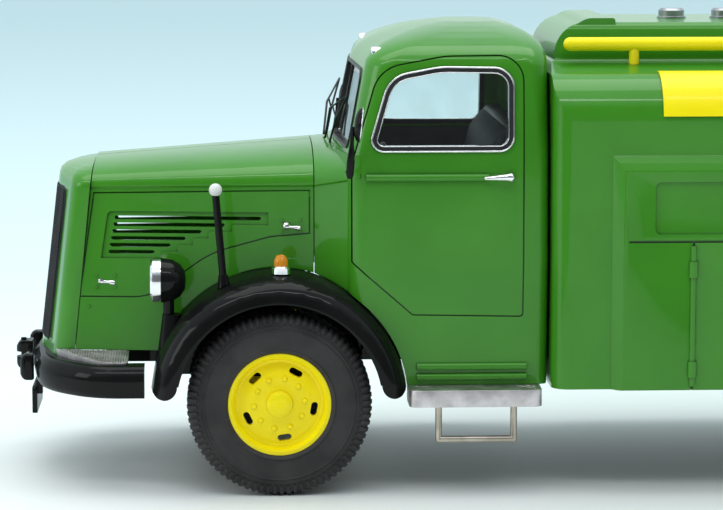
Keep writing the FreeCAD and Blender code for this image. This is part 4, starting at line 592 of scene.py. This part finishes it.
end_x, end_y, foot_z = -18.3, 24.3, 13.2
plan_corners = [(-5.0, -end_y, 0.5), (-25.5, -end_y, 10.0), (-33.1, -17.0, 13.0), (-35.0, 0.0, 60.0),
                (-33.1, 17.0, 13.0), (-25.5, end_y, 10.0), (-5.0, end_y, 0.5)]
bumper_plan = [(x, y) for x, y in rounded_outline(plan_corners, 7) if x < end_x]
bumper_plan = [(end_x, -end_y)] + bumper_plan + [(end_x, end_y)]
section = [(2.4, 0.3), (1.0, 0.0), (0.45, 0.3), (0.14, 0.9), (0.0, 1.8), (0.02, 2.7), (0.2, 3.4), (0.5, 3.8),
           (0.62, 3.95), (0.85, 4.28), (1.2, 4.4), (3.9, 4.4), (3.9, 4.0), (2.6, 3.4), (2.4, 0.3)]


def shrink(inset):
    return 1.0 - inset / 16.6, 1.0 - inset / end_y


def plan_spot(x, y, inset, rise):
    along, across = shrink(inset)
    return at(end_x + (x - end_x) * along, y * across, foot_z + rise)


bumper = draw_line("front_bumper_pressing", [plan_spot(x, y, *section[0]) for x, y in bumper_plan])
bpy.ops.mesh.select_all(action="SELECT")
for (inset_a, rise_a), (inset_b, rise_b) in zip(section, section[1:]):
    bpy.ops.mesh.extrude_region_move(TRANSFORM_OT_translate={"value": (0.0, 0.0, (rise_b - rise_a) * 0.001)})
    along_a, across_a = shrink(inset_a)
    along_b, across_b = shrink(inset_b)
    bpy.ops.transform.resize(value=(along_b / along_a, across_b / across_a, 1.0),
                             center_override=at(end_x, 0.0, foot_z))
bpy.ops.mesh.select_all(action="SELECT")
bpy.ops.mesh.remove_doubles(threshold=0.000003)
for side in (-1.0, 1.0):
    choose_points(bumper, lambda co: co.x > at(end_x - 0.01, 0.0, 0.0).x and co.y * side > 0.0)
    bpy.ops.mesh.edge_face_add()
tidy_faces()
bpy.ops.object.mode_set(mode="OBJECT")
finish_piece(bumper, black_enamel, "lorry", "front_bumper")


# %% [markdown]
# Each mirror is an oval case with a bright rim, on a stout arm that tapers upwards. The
# case and the arm are turned shapes: half an outline, spun round an axis. The case's
# axis leans a little, and scaling it across makes its round outline oval.

# %% Mirrors
def turned(name, foot, axis, outline, steps=32):
    axis = Vector(axis).normalized()
    out = axis.orthogonal().normalized()
    spots = [foot + axis * (along * 0.001) + out * (radius * 0.001) for along, radius in outline]
    return spun(name, spots, foot, axis, steps)


def squeeze(piece, factors, centre):
    start_clean()
    piece.select_set(True)
    bpy.context.view_layer.objects.active = piece
    bpy.ops.object.mode_set(mode="EDIT")
    bpy.ops.mesh.select_all(action="SELECT")
    bpy.ops.transform.resize(value=factors, center_override=centre)
    bpy.ops.object.mode_set(mode="OBJECT")
    return piece


def both_sides(name, pieces):
    copies = [copy_of(piece, piece.name + "_far", other_side=True) for piece in pieces]
    return join_pieces(name, pieces + copies)


mirror_centre = at(10.7, -25.9, 50.55)
mirror_axis = (1.0, 0.0, -0.11)
oval = (1.0, 0.75, 1.0)
case = turned("mirror_case", mirror_centre, mirror_axis,
              [(-0.62, 0.0), (-0.58, 0.9), (-0.42, 1.6), (-0.12, 2.15),
               (0.12, 2.33), (0.3, 2.33), (0.3, 2.0), (0.2, 0.0)])
squeeze(case, oval, mirror_centre)
rim = turned("mirror_rim", mirror_centre, mirror_axis,
             [(0.25, 2.0), (0.25, 2.36), (0.31, 2.42), (0.38, 2.38), (0.4, 2.25),
              (0.38, 2.1), (0.34, 2.0), (0.34, 0.0), (0.27, 0.0), (0.25, 2.0)])
squeeze(rim, oval, mirror_centre)
finish_piece(both_sides("mirror_cases", [case]), black_enamel, "lorry", "mirror_heads")
finish_piece(both_sides("mirror_glasses", [rim]), bright_plating, "lorry")

arm = turned("mirror_stem", at(9.5, -25.5, 43.3), (0.06, -0.05, 1.0),
             [(0.0, 0.0), (0.0, 0.34), (0.5, 0.5), (2.2, 0.54),
              (3.6, 0.42), (4.8, 0.27), (7.0, 0.24), (7.0, 0.0)])
foot = tube("mirror_foot", [at(9.3, -23.5, 44.0), at(9.4, -24.6, 44.0), at(9.55, -25.5, 44.3)], 0.00032)
finish_piece(both_sides("mirror_stems", [arm, foot]), black_enamel, "lorry", "mirror_arms")


# %% [markdown]
# The wipers stand clear of the glass as thin wire frames: the arm, and the blade that it
# holds. A bent wire is a line that gets a round thickness. A short cross wire and a
# turned pivot complete each wiper.

# %% Wipers
wiper_line = [at(6.98, -3.0, 46.82), at(7.58, -6.0, 51.25), at(9.8, -16.0, 53.98),
              at(8.31, -9.0, 50.08), at(7.4, -6.0, 46.0)]
wiper = tube("wiper_frame", wiper_line, 0.00016)
cross = tube("wiper_cross", [at(8.31, -9.0, 50.08), at(7.9, -7.4, 51.6)], 0.00013)
pivot = turned("wiper_pivot", at(7.4, -6.0, 45.5), (-0.1, 0.0, 1.0),
               [(0.0, 0.0), (0.0, 0.45), (0.5, 0.42), (0.75, 0.25), (0.8, 0.0)], 20)
finish_piece(both_sides("wiper_frames", [wiper, cross, pivot]), dark_moulding, "lorry", "wipers")


# %% [markdown]
# Two catches hold each side of the bonnet: a small turned lever on a round boss. The two
# places differ only in how wide the bonnet is there, so one loop makes both.

# %% Bonnet catches
catches = []
for x, z, half in ((-23.8, 28.05, 13.41), (1.75, 35.9, 16.78)):
    name = "catch_%d" % len(catches)
    lever = turned(name + "_lever", at(x - 1.0, -half - 0.5, z), (1.0, 0.0, -0.12),
                   [(0.0, 0.0), (0.02, 0.3), (0.5, 0.26), (1.3, 0.2), (1.9, 0.36), (2.3, 0.34), (2.5, 0.0)], 20)
    boss = turned(name + "_boss", at(x - 0.55, -half + 0.1, z), (0.0, -1.0, 0.0),
                  [(0.0, 0.0), (0.0, 0.5), (0.25, 0.48), (0.35, 0.34), (0.8, 0.3), (0.85, 0.0)], 20)
    catches += [lever, boss]
finish_piece(both_sides("bonnet_catches", catches), bright_plating, "lorry", "bonnet_latches")


# %% [markdown]
# The roof lamps are plated bullets with their points to the rear. Each is half an
# outline, from the middle of the face round to the point, spun round the lamp's axis.

# %% Roof lamps
lamp_body = turned("roof_lamp_body", at(12.84, -18.0, 59.5), (2.3, 0.0, 0.5),
                   [(0.0, 0.0), (0.0, 0.8), (0.1, 0.98), (0.3, 1.02),
                    (0.9, 0.9), (1.6, 0.58), (2.2, 0.24), (2.5, 0.0)], 28)
finish_piece(both_sides("roof_lamp_bodies", [lamp_body]), bright_plating, "lorry", "roof_lamps")


# %% [markdown]
# Inside the cab, a dark sheet stands against each door below the windows as painted
# shade, where the inside of the cab lies in shade. Its edge is drawn up the barrel-shaped
# side, extruded along the cab, and thickened by a Solidify modifier.

# %% Painted shade inside the doors
heights = [21.7 + 3.5 * k for k in range(8)]
# Painted shade: a dark sheet inside each door, standing for the shade in the cab.
shade_sheet = draw_line("door_shade_sheet", [at(12.4, cab_side(z) + 1.1, z) for z in heights])
bpy.ops.mesh.select_all(action="SELECT")
bpy.ops.mesh.extrude_region_move(TRANSFORM_OT_translate={"value": at(34.2, 0.0, 0.0) - at(12.4, 0.0, 0.0)})
tidy_faces()
bpy.ops.object.mode_set(mode="OBJECT")
wall = shade_sheet.modifiers.new("wall", "SOLIDIFY")
wall.thickness = 0.0003
wall.offset = 0.0
bpy.ops.object.modifier_apply(modifier="wall")
finish_piece(both_sides("door_shade_sheets", [shade_sheet]), cabin_moulding, "lorry")


# %% [markdown]
# The back of the bench is pleated. A pleat is the backrest's side outline, closed with
# a face, extruded by its own width, and rounded along its edges by a Bevel modifier. One
# pleat is modelled, and its copies stand side by side across the cab.

# %% Seat pleats
profile = [(29.4, 34.0), (28.6, 36.5), (28.2, 40.0), (28.4, 43.8), (29.3, 47.1), (30.9, 49.1), (32.6, 49.7),
           (34.2, 49.1), (34.9, 47.5), (34.9, 34.0)]
pleat_width = 1.6
pleat_count = 22
pleat = draw_line("pleat_0", [at(x, -17.6, z) for x, z in profile])
bpy.ops.mesh.select_all(action="SELECT")
bpy.ops.mesh.edge_face_add()
bpy.ops.mesh.extrude_region_move(TRANSFORM_OT_translate={"value": (0.0, pleat_width * 0.001, 0.0)})
tidy_faces()
bpy.ops.object.mode_set(mode="OBJECT")
roll = pleat.modifiers.new("rolled_edges", "BEVEL")
roll.limit_method = "ANGLE"
roll.angle_limit = math.radians(50.0)
roll.width = 0.0007
roll.segments = 4
bpy.ops.object.modifier_apply(modifier="rolled_edges")
pleats = [pleat] + [copy_of(pleat, "pleat_%d" % k, shift=(0.0, pleat_width * k * 0.001, 0.0))
                    for k in range(1, pleat_count)]
finish_piece(join_pieces("seat_pleats", pleats), cabin_moulding, "lorry")


# %% [markdown]
# The camera stands low on the driver's side, a little ahead of square, and looks at the
# cab. A long lens keeps the sides nearly parallel. The floor is one pale sheet, and a
# broad soft lamp overhead does most of the work, as a light tent does.

# %% Camera, floor and light
aim = at(11.01, -27.0, 33.16)
rise = math.radians(7.52)
turn = math.radians(2.74)
away = Vector((-math.sin(turn) * math.cos(rise), -math.cos(turn) * math.cos(rise), math.sin(rise)))
camera_data = bpy.data.cameras.new("studio_camera")
camera = bpy.data.objects.new("studio_camera", camera_data)
bpy.context.scene.collection.objects.link(camera)
camera.location = aim + away * 0.3753
camera.rotation_euler = (-away).to_track_quat("-Z", "Y").to_euler()
camera_data.sensor_width = 36.0
camera_data.lens = 139.46
camera_data.clip_start = 0.01
bpy.context.scene.camera = camera

start_clean()
bpy.ops.mesh.primitive_plane_add(size=6.0, location=(0, 0, 0))
floor = bpy.context.object
floor.name = "studio_floor"
floor_finish, made, links, shader = new_finish("floor_card")
place = made.new("ShaderNodeTexCoord")
split = made.new("ShaderNodeSeparateXYZ")
reach = made.new("ShaderNodeMapRange")
reach.inputs["From Min"].default_value = -0.02
reach.inputs["From Max"].default_value = 1.3
fade = made.new("ShaderNodeValToRGB")
fade.color_ramp.elements[0].color = (0.84, 0.86, 0.85, 1.0)
fade.color_ramp.elements[1].color = (0.60, 0.80, 0.86, 1.0)
middle = fade.color_ramp.elements.new(0.17)
middle.color = (0.70, 0.85, 0.89, 1.0)
links.new(place.outputs["Object"], split.inputs["Vector"])
links.new(split.outputs["Y"], reach.inputs["Value"])
links.new(reach.outputs["Result"], fade.inputs["Fac"])
links.new(fade.outputs["Color"], shader.inputs["Base Color"])
shader.inputs["Roughness"].default_value = 0.45
shader.inputs["Specular IOR Level"].default_value = 0.25
floor.data.materials.append(floor_finish)


def lamp(name, place, target, size, power, colour):
    data = bpy.data.lights.new(name, "AREA")
    data.shape = "RECTANGLE"
    data.size = size[0]
    data.size_y = size[1]
    data.energy = power
    data.color = colour
    light = bpy.data.objects.new(name, data)
    bpy.context.scene.collection.objects.link(light)
    light.location = place
    light.rotation_euler = (Vector(target) - Vector(place)).to_track_quat("-Z", "Y").to_euler()
    return light


lamp("overhead_tent", (-0.02, 0.05, 0.80), (0, 0, 0.03), (0.9, 0.5), 3.2, (1.0, 0.99, 0.97))
lamp("shoulder_strip", (-0.10, -0.42, 0.62), (0, 0, 0.04), (0.9, 0.06), 1.1, (1.0, 1.0, 1.0))
lamp("front_panel", (-0.70, -0.25, 0.30), (-0.02, 0, 0.03), (0.3, 0.3), 0.8, (1.0, 1.0, 1.0))
print("camera at", [round(v, 4) for v in camera.location])


# %% [markdown]
# The air round the table is a bright tent overhead and beyond, and a darker room on the
# side where the onlooker stands. That is what gives the enamel its deep colour: the
# upright sides have little to mirror, while the roof and bonnet mirror the bright tent.

# %% Air
world = bpy.data.worlds.new("studio_air")
world.use_nodes = True
tree = world.node_tree
aim_at = tree.nodes.new("ShaderNodeTexCoord")
parts = tree.nodes.new("ShaderNodeSeparateXYZ")
height = tree.nodes.new("ShaderNodeMath")
height.operation = "MULTIPLY_ADD"
height.inputs[1].default_value = 1.1
height.inputs[2].default_value = 0.30
height_sum = tree.nodes.new("ShaderNodeMath")
height_sum.operation = "ADD"
sky = tree.nodes.new("ShaderNodeValToRGB")
sky.color_ramp.elements[0].position = 0.0
sky.color_ramp.elements[0].color = (0.16, 0.17, 0.18, 1.0)
sky.color_ramp.elements[1].position = 0.62
sky.color_ramp.elements[1].color = (0.84, 0.97, 1.0, 1.0)
tree.links.new(aim_at.outputs["Generated"], parts.inputs["Vector"])
tree.links.new(parts.outputs["Z"], height.inputs[0])
tree.links.new(height.outputs["Value"], height_sum.inputs[0])
tree.links.new(parts.outputs["Y"], height_sum.inputs[1])
tree.links.new(height_sum.outputs["Value"], sky.inputs["Fac"])
tree.links.new(sky.outputs["Color"], tree.nodes["Background"].inputs["Color"])
tree.nodes["Background"].inputs["Strength"].default_value = 1.0
bpy.context.scene.world = world
bpy.context.scene.view_settings.view_transform = "Standard"
print("tent overhead, room behind the onlooker")
